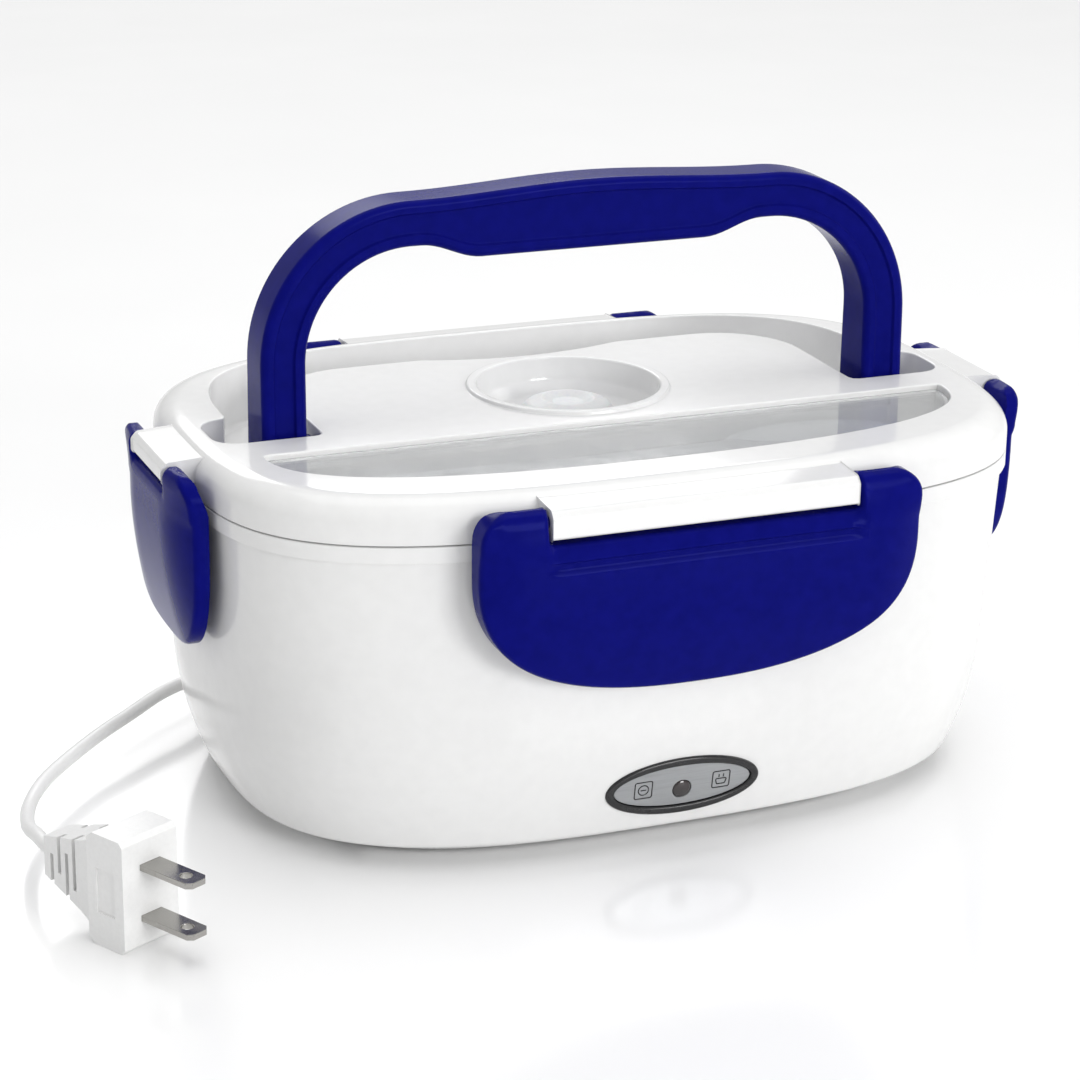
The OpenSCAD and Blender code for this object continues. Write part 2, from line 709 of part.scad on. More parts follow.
wire_r = 0.8;
wire_gap = 0.3;
terminal_y = inlet_back - 10.5;
terminal_z = plate_bottom - flange_t - ptc_h / 2;
tab_z = plate_bottom - flange_t - stat_h - tab_len / 2;
function pin_end(s) = [inlet_x + s * contact_pitch / 2, terminal_y - wire_gap, inlet_z];
ptc_tab = ptc_wid / 2 + 4 + wire_gap;
function panel_point(u, v, w) = [u, -panel_out - v * sin(panel_tilt) - w * cos(panel_tilt),
    panel_z + v * cos(panel_tilt) - w * sin(panel_tilt)];
wire_routes = [
    [pin_end(-1), pin_end(-1) - [0, 3, 0], [-46, 36, 14], [-40, 31, tab_z], [stat_x - 7, side_y, tab_z],
        [stat_x - 4.45, side_y, tab_z]],
    [[stat_x + 4.45, side_y, tab_z], [stat_x + 7, side_y, tab_z], [-8, 29, 13], [4, 29, 18],
        [fuse_x - 14, side_y, fuse_z], [fuse_x - 11.55, side_y, fuse_z]],
    [[fuse_x + 11.55, side_y, fuse_z], [fuse_x + 14, side_y, fuse_z], [37.5, 26, 20.5], [33, 23.5, terminal_z],
        [28, 23, terminal_z], [27, ptc_tab, terminal_z]],
    [pin_end(1), pin_end(1) - [0, 3, 0], [-36, 36, 12], [-22, 16, 10], [0, -10, 10], [16, -30, 11],
        [28, -30, 17], [28, -ptc_tab - 2, terminal_z], [28, -ptc_tab, terminal_z]],
    [[25.6, -ptc_tab, terminal_z], [25.6, -ptc_tab - 2, terminal_z], [22, -34, 15],
        [12, -46, 15], [8, -56, 16.6], panel_point(8, 0, -barrel_depth - board_t - 0.05)]];
module wire_harness() {
    color([0.72, 0.1, 0.08]) for (route = wire_routes) tube(smooth(route, 3), wire_r, 6);
}

// Inlet and mains lead

module figure_eight(radius, y0, y1) {
    translate([inlet_x, y0, inlet_z]) rotate([-90, 0, 0]) {
        for (s = [-1, 1]) translate([s * contact_pitch / 2, 0, 0]) cylinder(h = y1 - y0, r = radius);
        translate([-contact_pitch / 2, -radius * 0.72, 0]) cube([contact_pitch, radius * 1.44, y1 - y0]);
    }
}
module contacts(radius, y0, y1) {
    for (s = [-1, 1]) translate([inlet_x + s * contact_pitch / 2, y0, inlet_z]) rotate([-90, 0, 0])
        cylinder(h = y1 - y0, r = radius);
}
socket_face = inlet_pad - 0.6;
socket_back = inlet_back - 7;
socket_floor = inlet_back - 1;
module inlet_socket() {
    color(dark) difference() {
        union() {
            inlet_box(0, socket_back, socket_face);
            inlet_box(2, inlet_back - 2, inlet_back);
        }
        figure_eight(nose_r + 0.25, socket_floor, socket_face + 1);
        contacts(contact_r + 0.02, socket_back - 1, socket_floor + 1);
    }
}
module inlet_pins() {
    color(brass) contacts(contact_r, terminal_y, socket_face - 3);
}

grip_start = inlet_pad + 0.4;
grip_len = 17;
grip_half = 9.6;
grip_h = 10.4;
neck_len = 11;
connector_end = grip_start + grip_len + neck_len;
module cord_connector() {
    color(white) difference() {
        union() {
            figure_eight(nose_r, socket_floor + 0.8, grip_start + hair);
            translate([inlet_x, grip_start, inlet_z]) rotate([-90, 0, 0]) linear_extrude(grip_len) union() {
                square([2 * grip_half - grip_h, grip_h], center = true);
                for (s = [-1, 1]) translate([s * (grip_half - grip_h / 2), 0]) circle(r = grip_h / 2);
            }
            translate([inlet_x, grip_start + grip_len - hair, inlet_z]) rotate([-90, 0, 0])
                cylinder(h = neck_len + hair, r1 = grip_h / 2 - 0.6, r2 = cord_d / 2 + 0.8);
        }
        contacts(contact_r + 0.1, socket_floor, socket_face - 2);
        for (i = [0:3]) translate([inlet_x, grip_start + grip_len + 2 + i * 2.2, inlet_z]) rotate([-90, 0, 0])
            difference() {
                cylinder(h = 0.9, r = grip_h);
                cylinder(h = 0.9, r = cord_d / 2 + 0.5);
            }
    }
}

cord_r = cord_d / 2;
cord_z = cord_r + 0.1;
coil_x = 15;
coil_y = 135;
coil_rings = 24;
lay_z = cord_z + coil_step;
coil_turns = 2 * coil_loops + 0.5;
straight = cord_d;

// Two flat layers: in along the lower one, up in the half turn at the middle, out along the upper one
function coil_point(f) =
    let (a = 180 - 360 * f, r = coil_r - coil_step * min(f, coil_turns - f),
        climb = max(0, min(1, (f - coil_loops) / 0.5)),
        rise = (1 - cos(180 * climb)) / 2)
    [coil_x + r * cos(a), coil_y + r * sin(a), cord_z + coil_step * rise];
coil_path = concat(
    [coil_point(0) - [0, straight, 0], coil_point(0) - [0, straight / 2, 0]],
    [for (i = [0:coil_turns * coil_rings]) coil_point(i / coil_rings)],
    [coil_point(coil_turns) - [0, straight / 2, 0], coil_point(coil_turns) - [0, straight, 0]]);
coil_gap = min([for (i = [0:len(coil_path) - 1]) for (j = [i + 12:1:len(coil_path) - 1])
    norm(coil_path[i] - coil_path[j])]) - cord_d;
echo(coil_least_gap = coil_gap);

coil_in = coil_path[0];
coil_out = coil_path[len(coil_path) - 1];
feed_points = [[inlet_x, connector_end, inlet_z], [inlet_x, connector_end + 4, inlet_z], [-43, 108, 17.5],
    [-36, 114, 12.5], [-26, 117, 7], [-18, 120, 3.5], [-13.6, 126, 2], coil_in - [0, straight, 0], coil_in];
mains_face = [-136.1, -76.2, mains_h / 2];
mains_angle = -62;
mains_dir = [cos(mains_angle), sin(mains_angle), 0];
mains_rear = mains_face - (mains_len + relief_len) * mains_dir;
lead_points = [coil_out, coil_out - [0, straight, 0], [41, 119, 4.5], [34, 106, 2.4], [20, 98, 1.9],
    [0, 95, 1.9], [-22, 93, 2], [-44, 87, 3.5], [-62, 76, 6], [-77, 65, 8.5], [-91, 54, 10],
    [-101, 47, 10], [-112, 37, 9.5], [-123, 27, 9], [-136, 12, 9], [-144, 0, 9.5], [-150, -13, 10],
    [-153.5, -28, 12], [-153.4, -38, 13.6], mains_rear - straight * mains_dir, mains_rear];
feed_path = smooth(feed_points, 3);
lead_path = smooth(lead_points, 2);
echo(cord_length = path_length(feed_path) + path_length(coil_path) + path_length(lead_path));

module cord_feed() {
    color(white) tube(feed_path, cord_r, 8);
}
module cord_coil() {
    color(white) tube(coil_path, cord_r, 6);
}
module cord_lead() {
    color(white) tube(lead_path, cord_r, 8);
}

// Frame of the mains plug: X out of its face, Z up
module at_plug() {
    translate(mains_face) rotate([0, 0, mains_angle]) children();
}
relief_end_h = 10;
relief_end_t = 8;
module plug_body() {
    nose = 1.2;
    color(white) at_plug() difference() {
        union() {
            rotate([90, 0, 0]) linear_extrude(mains_t, center = true) polygon([
                [-mains_len, -mains_h / 2 + 1.5], [-mains_len + 2, -mains_h / 2], [-nose, -mains_h / 2],
                [0, -mains_h / 2 + nose], [0, mains_h / 2 - nose], [-nose, mains_h / 2],
                [-mains_len + 2, mains_h / 2], [-mains_len, mains_h / 2 - 1.5]]);
            intersection() {
                rotate([90, 0, 0]) linear_extrude(mains_t, center = true) polygon([
                    [-mains_len - relief_len, -relief_end_h / 2], [-mains_len - 5, -mains_h / 2 + 5],
                    [-mains_len + 1, -mains_h / 2 + 2.5], [-mains_len + 1, mains_h / 2 - 2.5],
                    [-mains_len - 5, mains_h / 2 - 5], [-mains_len - relief_len, relief_end_h / 2]]);
                linear_extrude(mains_h, center = true) polygon([
                    [-mains_len - relief_len, -relief_end_t / 2], [-mains_len - 3, -mains_t / 2 + 2],
                    [-mains_len + 1, -mains_t / 2 + 1], [-mains_len + 1, mains_t / 2 - 1],
                    [-mains_len - 3, mains_t / 2 - 2], [-mains_len - relief_len, relief_end_t / 2]]);
            }
        }
        for (s = [-1, 1]) translate([-blade_root, -blade_w / 2, s * blade_pitch / 2 - blade_t / 2])
            cube([blade_root + 1, blade_w, blade_t]);
        for (i = [0:3]) for (s = [-1, 1])
            translate([-mains_len - 7.5 - i * 3.1, s * slot_out, (i % 2 == 0 ? 2.2 : -2.2)])
                cube([1.3, mains_t, mains_h * 0.5 - i * 2.2], center = true);
        for (s = [-1, 1]) translate([-mains_len / 2, s * mains_t / 2, 0]) cube([6, 0.8, 11], center = true);
    }
}
slot_out = 11;
blade_root = 6;
module plug_blades() {
    color(steel) at_plug() for (s = [-1, 1]) translate([0, 0, s * blade_pitch / 2]) difference() {
        linear_extrude(blade_t - 0.04, center = true) polygon([
            [-blade_root + 0.1, -blade_w / 2 + 0.02], [blade_len - 1.2, -blade_w / 2 + 0.02],
            [blade_len, -blade_w / 2 + 1.2], [blade_len, blade_w / 2 - 1.2],
            [blade_len - 1.2, blade_w / 2 - 0.02], [-blade_root + 0.1, blade_w / 2 - 0.02]]);
        translate([blade_len - 4.2, 0, -blade_t]) cylinder(h = 2 * blade_t, r = 1.5);
    }
}

// Food trays

shoulder_z = tray_top - shoulder_depth;
tray_floor = plate_top + 0.3;
function tray_side(z) = mouth_inset + shoulder_w
    + tray_draw * (shoulder_z - z) / (shoulder_z - tray_floor - tray_round);
// Rounded bottom and straight sides of a dish: z of its floor, its rounding, its inset at height z
function dish_rings(z0, radius, extra, top) = concat(
    [for (a = [0, 30, 60]) [z0 + radius * (1 - cos(a)), tray_side(z0 + radius) + extra + radius * (1 - sin(a))]],
    [[z0 + radius, tray_side(z0 + radius) + extra], [top, tray_side(top) + extra]]);

module food_tray() {
    color(steel) difference() {
        inset_loft(concat(dish_rings(tray_floor, tray_round + tray_t, -tray_t, shoulder_z - tray_t), [
            [shoulder_z - tray_t, mouth_inset - tray_t], [tray_top - tray_t, mouth_inset - tray_t],
            [tray_top - tray_t, tray_inset], [tray_top, tray_inset]]));
        inset_loft(concat(dish_rings(tray_floor + tray_t, tray_round, 0, shoulder_z), [
            [shoulder_z, mouth_inset], [tray_top + 1, mouth_inset]]));
    }
}

dish_flange = 1.2;
module right_of(x, z0, z1) {
    translate([x, -half_wid, z0]) cube([half_len, 2 * half_wid, z1 - z0]);
}
module side_dish() {
    z = shoulder_z + 0.1;
    floor = z - dish_depth;
    color([0.92, 0.93, 0.92]) difference() {
        union() {
            intersection() {
                inset_loft(dish_rings(floor, tray_round, 0.6, z + hair));
                right_of(dish_left, floor - 1, z + 1);
            }
            intersection() {
                slab(z, z + dish_flange, mouth_inset + 0.4);
                right_of(dish_left - 2, z - 1, z + 3);
            }
        }
        intersection() {
            inset_loft(dish_rings(floor + dish_t, tray_round - dish_t, 0.6 + dish_t, z + 2));
            right_of(dish_left + dish_t, floor, z + 4);
        }
    }
}

// Lid

module lid_outer(z0) {
    loft(concat([[z0, half_len, half_wid, squareness]],
        [for (a = [0:15:90]) let (e = lid_round * (1 - cos(a)))
            [rim_h - lid_round + lid_round * sin(a), half_len - e, half_wid - e, squareness]]));
}
module lid_inner() {
    inset_loft([[seam_z - 1, lid_wall], [rim_h - lid_round + 0.1, lid_wall + 0.3], [rim_h - lid_wall, lid_round + 0.4]]);
}

// Raised middle that the handle's channel runs round
module middle_2d(grow) {
    half = middle_half - grow;
    back = middle_back - grow;
    r = middle_corner - grow;
    difference() {
        polygon(concat([[half, -half_wid]],
            [for (a = [0:6:90]) [half - r + r * cos(a), back - r + r * sin(a)]],
            [for (a = [90:6:180]) [-half + r + r * cos(a), back - r + r * sin(a)]],
            [[-half, -half_wid]]));
        translate([0, middle_back - dip_depth + dip_r]) circle(r = dip_r + grow, $fn = 128);
    }
}
module channel_2d(grow) {
    difference() {
        intersection() {
            polygon([for (i = [0:ring_points - 1]) square_round(half_len - rim_end_w + grow,
                half_wid - rim_back_w + grow, channel_square, 360 * i / ring_points)]);
            translate([-half_len, channel_front - grow]) square([2 * half_len, 2 * half_wid]);
        }
        middle_2d(grow);
    }
    for (s = [-1, 1]) scale_x(s) pocket_2d(grow);
}
module pocket_2d(grow) {
    r = pocket_r + grow;
    x = pocket_half + grow - r;
    difference() {
        polygon(concat([[middle_half - 2, pocket_back + grow], [middle_half - 2, channel_front - grow]],
            [for (a = [-90:10:0]) [x + r * cos(a), channel_front - grow + r + r * sin(a)]],
            [for (a = [0:10:90]) [x + r * cos(a), pocket_back + grow - r + r * sin(a)]]));
        middle_2d(grow);
    }
}
// Mouth of the spoon compartment, drawn in by e
function comp_outline(e) = [for (i = [0:48]) let (t = 180 * i / 48)
    [(comp_half - e) * sgn(cos(t)) * pow(abs(cos(t)), 2 / comp_square),
     comp_back - e - (comp_wid - 2 * e) * pow(abs(sin(t)), 2 / comp_square)]];
module comp_space(e, z0, z1) {
    translate([0, 0, z0]) linear_extrude(z1 - z0) polygon(comp_outline(e));
}
vent_wall = 1.6;
chimney_r = stem_r + stem_gap + 2;
chimney_bottom = liner_bottom + liner_plate + 0.3;
module vent_well(grow) {
    translate([0, vent_y, 0]) rotate_extrude($fn = 72) polygon([[0, vent_floor - grow],
        [vent_floor_r + grow, vent_floor - grow], [vent_r - 3.2 + grow, vent_floor + 1.5],
        [vent_r - 1 + grow, vent_floor + 5], [vent_r + grow, rim_h + lip_h], [0, rim_h + lip_h]]);
}

bar_under = 3.6;
bar_out = 3.4;
// Bar on the lid that carries a latch, on the -Y side of a body whose skirt is at plane
module hinge_bar(half, plane, axis_out) {
    a = -plane - axis_out;
    rotate([90, 0, 90]) linear_extrude(2 * half, center = true) polygon([
        [-plane + 1.5, axis_z - bar_under], [a - bar_out + 0.8, axis_z - bar_under],
        [a - bar_out, axis_z - bar_under + 0.8], [a - bar_out, axis_z + 1.4],
        [a - bar_out + 1.1, axis_z + 3], [-plane + 4.2, axis_z + 3.8], [-plane + 1.9, axis_z]]);
}
module hinge_bores(half, plane, axis_out) {
    for (s = [-1, 1]) translate([s * half, -plane - axis_out, axis_z]) rotate([0, s * 90, 0])
        translate([0, 0, -pin_len - 1]) cylinder(h = pin_len + 2, r = pin_r + pin_play);
}
pivot_play = 0.08;
pivot_len = 7;

module lid_shell() {
    color(white) difference() {
        union() {
            difference() {
                lid_outer(seam_z);
                lid_inner();
            }
            intersection() {
                lid_outer(channel_floor - 5);
                union() {
                    translate([0, 0, channel_floor - bay_wall]) linear_extrude(channel_depth + bay_wall - hair)
                        channel_2d(bay_wall);
                    comp_space(-bay_wall, comp_floor - bay_wall, rim_h - hair);
                }
            }
            vent_well(vent_wall);
            translate([0, vent_y, rim_h - lid_wall]) cylinder(h = lid_wall + lip_h, r = vent_r + lip_w);
            translate([0, vent_y, chimney_bottom]) cylinder(h = vent_floor - chimney_bottom, r = chimney_r);
            on_sides_long() hinge_bar(long_bar_half, half_wid, long_axis_out);
            on_sides_end() hinge_bar(end_bar_half, half_len, end_axis_out);
            for (s = [-1, 1]) translate([s * (middle_half - pivot_len), pivot_y, pivot_z])
                rotate([0, s * 90, 0]) cylinder(h = pivot_len - 0.5, r = pivot_r + 2.4);
        }
        translate([0, vent_y, chimney_bottom - 1]) cylinder(h = 20, r = stem_r + stem_gap);
        translate([0, 0, channel_floor]) linear_extrude(channel_depth + 2) channel_2d(0);
        comp_space(ledge_w, comp_floor, rim_h + 1);
        comp_space(0, cover_seat, rim_h + 1);
        vent_well(0);
        on_sides_long() hinge_bores(long_bar_half, half_wid, long_axis_out);
        on_sides_end() hinge_bores(end_bar_half, half_len, end_axis_out);
        for (s = [-1, 1]) translate([s * (middle_half + 1), pivot_y, pivot_z]) rotate([0, -s * 90, 0])
            cylinder(h = pivot_len, r = pivot_r + pivot_play);
    }
}

liner_top = rim_h - lid_round + 1.3;
tongue_inset = seal_inset + 1.6;
tongue_w = 1.6;
tongue_h = 1;
module lid_liner() {
    color(silicone) difference() {
        slab(liner_bottom, liner_top, liner_inset);
        slab(liner_bottom + liner_plate, liner_top + 1, liner_inset + liner_t);
        difference() {
            slab(liner_bottom - 1, liner_bottom + tongue_h + 0.1, tongue_inset);
            slab(liner_bottom - 2, liner_bottom + 2, tongue_inset + tongue_w);
        }
        translate([0, vent_y, liner_bottom - 1]) cylinder(h = liner_plate + 2, r = stem_r + stem_gap);
    }
}
module lid_seal() {
    color([0.93, 0.93, 0.92]) {
        difference() {
            slab(seal_bottom, liner_bottom, seal_inset);
            slab(seal_bottom - 1, liner_bottom + 1, seal_inset + seal_w);
        }
        difference() {
            slab(liner_bottom - hair, liner_bottom + tongue_h, tongue_inset + 0.05);
            slab(liner_bottom - 1, liner_bottom + tongue_h + 1, tongue_inset + tongue_w - 0.05);
        }
    }
}

// Latch

ear_in = 0.2;
hook_t = 2.4;
ear_corner = 6;
// Outer face of a latch at depth d below its axis
function face_out(d, drop, curve_h, e) =
    (d < 10 ? ear_r + (belly_out - ear_r) * sin(9 * max(d, 0)) : belly_out)
    - tail_in * pow(max(0, (d - drop + curve_h) / curve_h), 1.8) - e;
module latch_side(axis_out, drop, curve_h, e, depth) {
    inner = -axis_out + latch_gap;
    steps = [0, 3, 6, 10, for (k = [0:6]) drop - curve_h + k * curve_h / 6];
    polygon(concat(
        [[inner - depth, depth > 0 ? -crossbar_drop - latch_wall : 0]],
        [for (a = [150:-30:30]) depth > 0 ? [inner - depth, -crossbar_drop - latch_wall]
            : [(ear_r - ear_in * (a > 90 ? 1 : 0)) * cos(a), ear_r * sin(a)]],
        [for (d = steps) [face_out(d, drop, curve_h, e), -max(d, depth > 0 ? crossbar_drop + latch_wall : 0)]],
        [[inner - depth, -drop]]));
}
// Outer top corner of an ear, from its top to its side
function latch_corner(half, e) = e > 0 ? [[half - e, -crossbar_drop - e]]
    : [for (a = [90:-30:0]) [half - ear_corner * (1 - cos(a)), ear_r - ear_corner * (1 - sin(a))]];
module latch_front_2d(half, drop, curve_h, bar_half, e) {
    difference() {
        union() {
            polygon(concat(latch_corner(half, e), [[half - e, -drop + curve_h]],
                [for (i = [1:23]) let (t = -180 * i / 24)
                    [(half - e) * sgn(cos(t)) * pow(abs(cos(t)), 2 / 2.4),
                     -drop + curve_h - (curve_h - e) * pow(abs(sin(t)), 2 / 2.4)]],
                [[-half + e, -drop + curve_h]],
                [for (i = [3:-1:0]) let (c = latch_corner(half, e), q = c[min(i, len(c) - 1)]) [-q[0], q[1]]]));
        }
        if (e == 0) translate([-bar_half - ear_gap, -crossbar_drop]) square([2 * (bar_half + ear_gap), 40]);
    }
}
// Plan of the latch seen from above, its face turning back at both sides
module latch_plan_2d(half, e) {
    polygon(concat([[-half + e, 20], [half - e, 20]],
        [for (k = [1:-0.2:-0.01]) [half - side_turn_len + k * (side_turn_len - e), -belly_out + e + side_turn_in * k * k]],
        [for (k = [0:0.2:1.01]) [-half + side_turn_len - k * (side_turn_len - e), -belly_out + e + side_turn_in * k * k]]));
}
module latch(plane, axis_out, bar_half, ear_w, drop, curve_h, hook_half) {
    half = bar_half + ear_gap + ear_w;
    hook_tip = -axis_out - band_step + catch_out + hook_gap;
    hook_top = -catch_drop - catch_h - hook_gap;
    hook_root = face_out(hook_t - hook_top, drop, curve_h, latch_wall / 2);
    translate([0, -plane - axis_out, axis_z]) {
        difference() {
            intersection() {
                rotate([90, 0, -90]) linear_extrude(2 * half, center = true)
                    latch_side(axis_out, drop, curve_h, 0, 0);
                rotate([90, 0, 0]) linear_extrude(60, center = true)
                    latch_front_2d(half, drop, curve_h, bar_half, 0);
                linear_extrude(120, center = true) latch_plan_2d(half, 0);
            }
            intersection() {
                rotate([90, 0, -90]) linear_extrude(2 * half, center = true)
                    latch_side(axis_out, drop, curve_h, latch_wall, 20);
                rotate([90, 0, 0]) linear_extrude(60, center = true)
                    latch_front_2d(half, drop, curve_h, bar_half, latch_wall);
                linear_extrude(120, center = true) latch_plan_2d(half, latch_wall);
            }
        }
        translate([-hook_half, -hook_root, hook_top - hook_t]) cube([2 * hook_half, hook_root - hook_tip, hook_t]);
        for (s = [-1, 1]) translate([s * (bar_half + ear_gap + hair), 0, 0]) rotate([0, -s * 90, 0])
            cylinder(h = ear_gap + pin_len, r = pin_r);
    }
}
module long_latch() {
    color(blue) latch(half_wid, long_axis_out, long_bar_half, long_ear_w, long_latch_drop, long_curve_h, long_catch);
}
module end_latch() {
    color(blue) latch(half_len, end_axis_out, end_bar_half, end_ear_w, end_latch_drop, end_curve_h, end_catch);
}
module latch_front() {
    long_latch();
}
module latch_back() {
    rotate([0, 0, 180]) long_latch();
}
module latch_left() {
    rotate([0, 0, -90]) end_latch();
}
module latch_right() {
    rotate([0, 0, 90]) end_latch();
}

// Handle, upright, with its pivots at the origin's height

corner_x = handle_half - handle_corner;
corner_z = handle_rise - handle_arch - handle_corner;
function ease(t) = (1 - cos(180 * max(0, min(1, t)))) / 2;
function grip_top(x) = handle_rise - handle_arch * ease(abs(x) / corner_x);
function grip_under(x) = handle_rise - handle_arch - leg_w
    - bulge_depth * ease((bulge_half + bulge_slope - abs(x)) / bulge_slope);
// Pairs of outer and inner points along the right half, from the pivot to the middle of the grip
half_pairs = concat(
    [for (z = [0, corner_z / 2]) [[handle_half, z], [handle_half - leg_w, z]]],
    [for (a = [0:10:90]) [[corner_x + handle_corner * cos(a), corner_z + handle_corner * sin(a)],
        [corner_x + (handle_corner - leg_w) * cos(a), corner_z + (handle_corner - leg_w) * sin(a)]]],
    [for (x = [bulge_half + bulge_slope, bulge_half + bulge_slope * 0.75, bulge_half + bulge_slope * 0.5,
        bulge_half + bulge_slope * 0.25, bulge_half, 24, 12]) [[x, grip_top(x)], [x, grip_under(x)]]]);
n_half = len(half_pairs);
handle_pairs = concat(half_pairs, [[[0, grip_top(0)], [0, grip_under(0)]]],
    [for (i = [n_half - 1:-1:0]) let (q = half_pairs[i]) [[-q[0][0], q[0][1]], [-q[1][0], q[1][1]]]]);
function half_depth(z) = (leg_depth + (grip_depth - leg_depth) * max(z, 0) / handle_rise) / 2;

// Rounded section between an outer and an inner point
function section(o, i) =
    let (mid = (o + i) / 2, w = norm(o - i) / 2, dir = unit(o - i), r = handle_round)
    [for (q = [0:3]) for (a = [0:30:90]) let (t = 90 * q + a,
        sx = (q == 0 || q == 3) ? 1 : -1, sy = q < 2 ? 1 : -1,
        u = sx * (w - r) + r * cos(t), p = mid + dir * u,
        v = sy * (half_depth(p[1]) - r) + r * sin(t))
        [p[0], v, p[1]]];
module handle_bow() {
    k = len(handle_pairs);
    m = 16;
    points = [for (q = handle_pairs) each section(q[0], q[1])];
    sides = [for (j = [0:k - 2]) for (i = [0:m - 1])
        let (a = j * m + i, b = j * m + (i + 1) % m) each [[a, a + m, b], [b, a + m, b + m]]];
    polyhedron(points, concat([[for (i = [0:m - 1]) i]], sides, [[for (i = [m - 1:-1:0]) (k - 1) * m + i]]));
}
// Shallow recess of a face, inside its border
module handle_recess() {
    k = len(handle_pairs) - 1;
    mids = [for (i = [0:k - 1]) (handle_pairs[i] + handle_pairs[i + 1]) / 2];
    inner = [for (q = mids) q[1] + border_w * unit(q[0] - q[1])];
    outer = [for (q = mids) q[0] - border_w * unit(q[0] - q[1])];
    polygon(concat([for (q = outer) q], [for (i = [k - 1:-1:0]) inner[i]]));
}
module handle() {
    lean = atan((leg_depth - grip_depth) / 2 / handle_rise);
    foot_end = leg_depth / 2 - 0.15;
    foot_w = leg_w / 2 - 0.15;
    color(white) translate([0, pivot_y, pivot_z]) {
        difference() {
            union() {
                handle_bow();
                for (s = [-1, 1]) translate([s * (handle_half - leg_w / 2), 0, 0]) rotate([0, 90, 0])
                    rotate_extrude() polygon([[0, -foot_w], [foot_end - handle_round, -foot_w],
                        [foot_end, -foot_w + handle_round], [foot_end, foot_w - handle_round],
                        [foot_end - handle_round, foot_w], [0, foot_w]]);
            }
            for (s = [-1, 1]) rotate([s * lean, 0, 0]) translate([0, s * (leg_depth / 2 - recess_depth), 0])
                rotate([90, 0, 0]) translate([0, 0, s > 0 ? -5 : 0]) linear_extrude(5) handle_recess();
        }
        for (s = [-1, 1]) rotate([0, s * 90, 0]) {
            translate([0, 0, middle_half + 0.7]) cylinder(h = handle_half - leg_w - middle_half, r = handle_boss_r);
            translate([0, 0, middle_half - pivot_len + 1.6]) cylinder(h = pivot_len + 1, r = pivot_r);
        }
    }
}

// Vent plug, spoon and cover

module vent_plug() {
    z = vent_floor + 0.3;
    color(silicone) translate([0, vent_y, 0]) {
        difference() {
            translate([0, 0, z]) rotate_extrude($fn = 64) polygon(concat([[0, 0], [plug_r - 1.5, 0]],
                [for (a = [0:15:90]) [plug_r - 1.5 - (plug_r - 7.5) * (1 - cos(a)) + 1.5 * cos(a) * cos(a),
                    0.8 + (plug_h - 0.8) * sin(a)]], [[0, plug_h]]));
            translate([0, 0, z + plug_h + 16]) sphere(r = 17.2, $fn = 64);
        }
        translate([0, 0, seal_bottom - 0.6]) cylinder(h = z - seal_bottom + 1.2, r = stem_r);
        translate([0, 0, seal_bottom - 0.6]) cylinder(h = 1.5, r1 = stem_r - 0.8, r2 = stem_r);
    }
}

bowl_x = 48;
spoon_y = comp_back - 15;
spoon_floor = comp_floor + 0.3;
handle_end = bowl_x + bowl_half_len - spoon_len;
neck_x = bowl_x - bowl_half_len;
// Deepening oval of the bowl, drawn in by e and raised by z
module bowl_form(e, z) {
    loft([for (k = [0.3, 0.6, 0.85, 1])
        [z + (bowl_depth - z + (z > 0 ? hair : 0)) * k * k, (bowl_half_len - e) * k, (bowl_half_wid - e) * k, 2]]);
}
module spoon() {
    color([0.93, 0.93, 0.94]) translate([0, spoon_y, spoon_floor]) difference() {
        union() {
            translate([bowl_x, 0, 0]) bowl_form(0, 0);
            translate([0, 0, bowl_depth - spoon_t]) linear_extrude(spoon_t) polygon(concat(
                [[neck_x + 5, -5], [neck_x - 2, -3.6], [neck_x - 30, -2.9]],
                [for (a = [-90:-20:-270]) [handle_end + 6.5 + 6.5 * cos(a), 5.6 * sin(a)]],
                [[neck_x - 30, 2.9], [neck_x - 2, 3.6], [neck_x + 5, 5]]));
        }
        translate([bowl_x, 0, 0]) bowl_form(1, spoon_t);
    }
}

scoop_r = 9;
module spoon_cover() {
    color([0.75, 0.80, 0.84, 0.5]) difference() {
        comp_space(cover_gap, cover_seat + 0.05, cover_seat + cover_t);
        translate([0, comp_back - comp_wid + 5, cover_seat + cover_t + scoop_r - 0.7]) sphere(r = scoop_r);
    }
}

base_housing();
bottom_cover();
rubber_feet();
housing_screws();
heater_well();
heating_plate();
ptc_heater();
heater_bracket();
thermal_fuse();
thermostat();
indicator_board();
wire_harness();
inlet_socket();
inlet_pins();
panel_bezel();
panel_face();
indicator_lens();
food_tray();
side_dish();
lid_shell();
lid_liner();
lid_seal();
latch_front();
latch_back();
latch_left();
latch_right();
handle();
vent_plug();
spoon();
spoon_cover();
cord_connector();
cord_feed();
cord_coil();
cord_lead();
plug_body();
plug_blades();
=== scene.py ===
# Electric lunch box: white heated base, lift-off lid with four blue latches, mains lead.
# Lengths are in millimetres until a mesh is written, which is in metres.
import math

import bmesh
import bpy
import numpy as np
from mathutils import Matrix, Vector, geometry


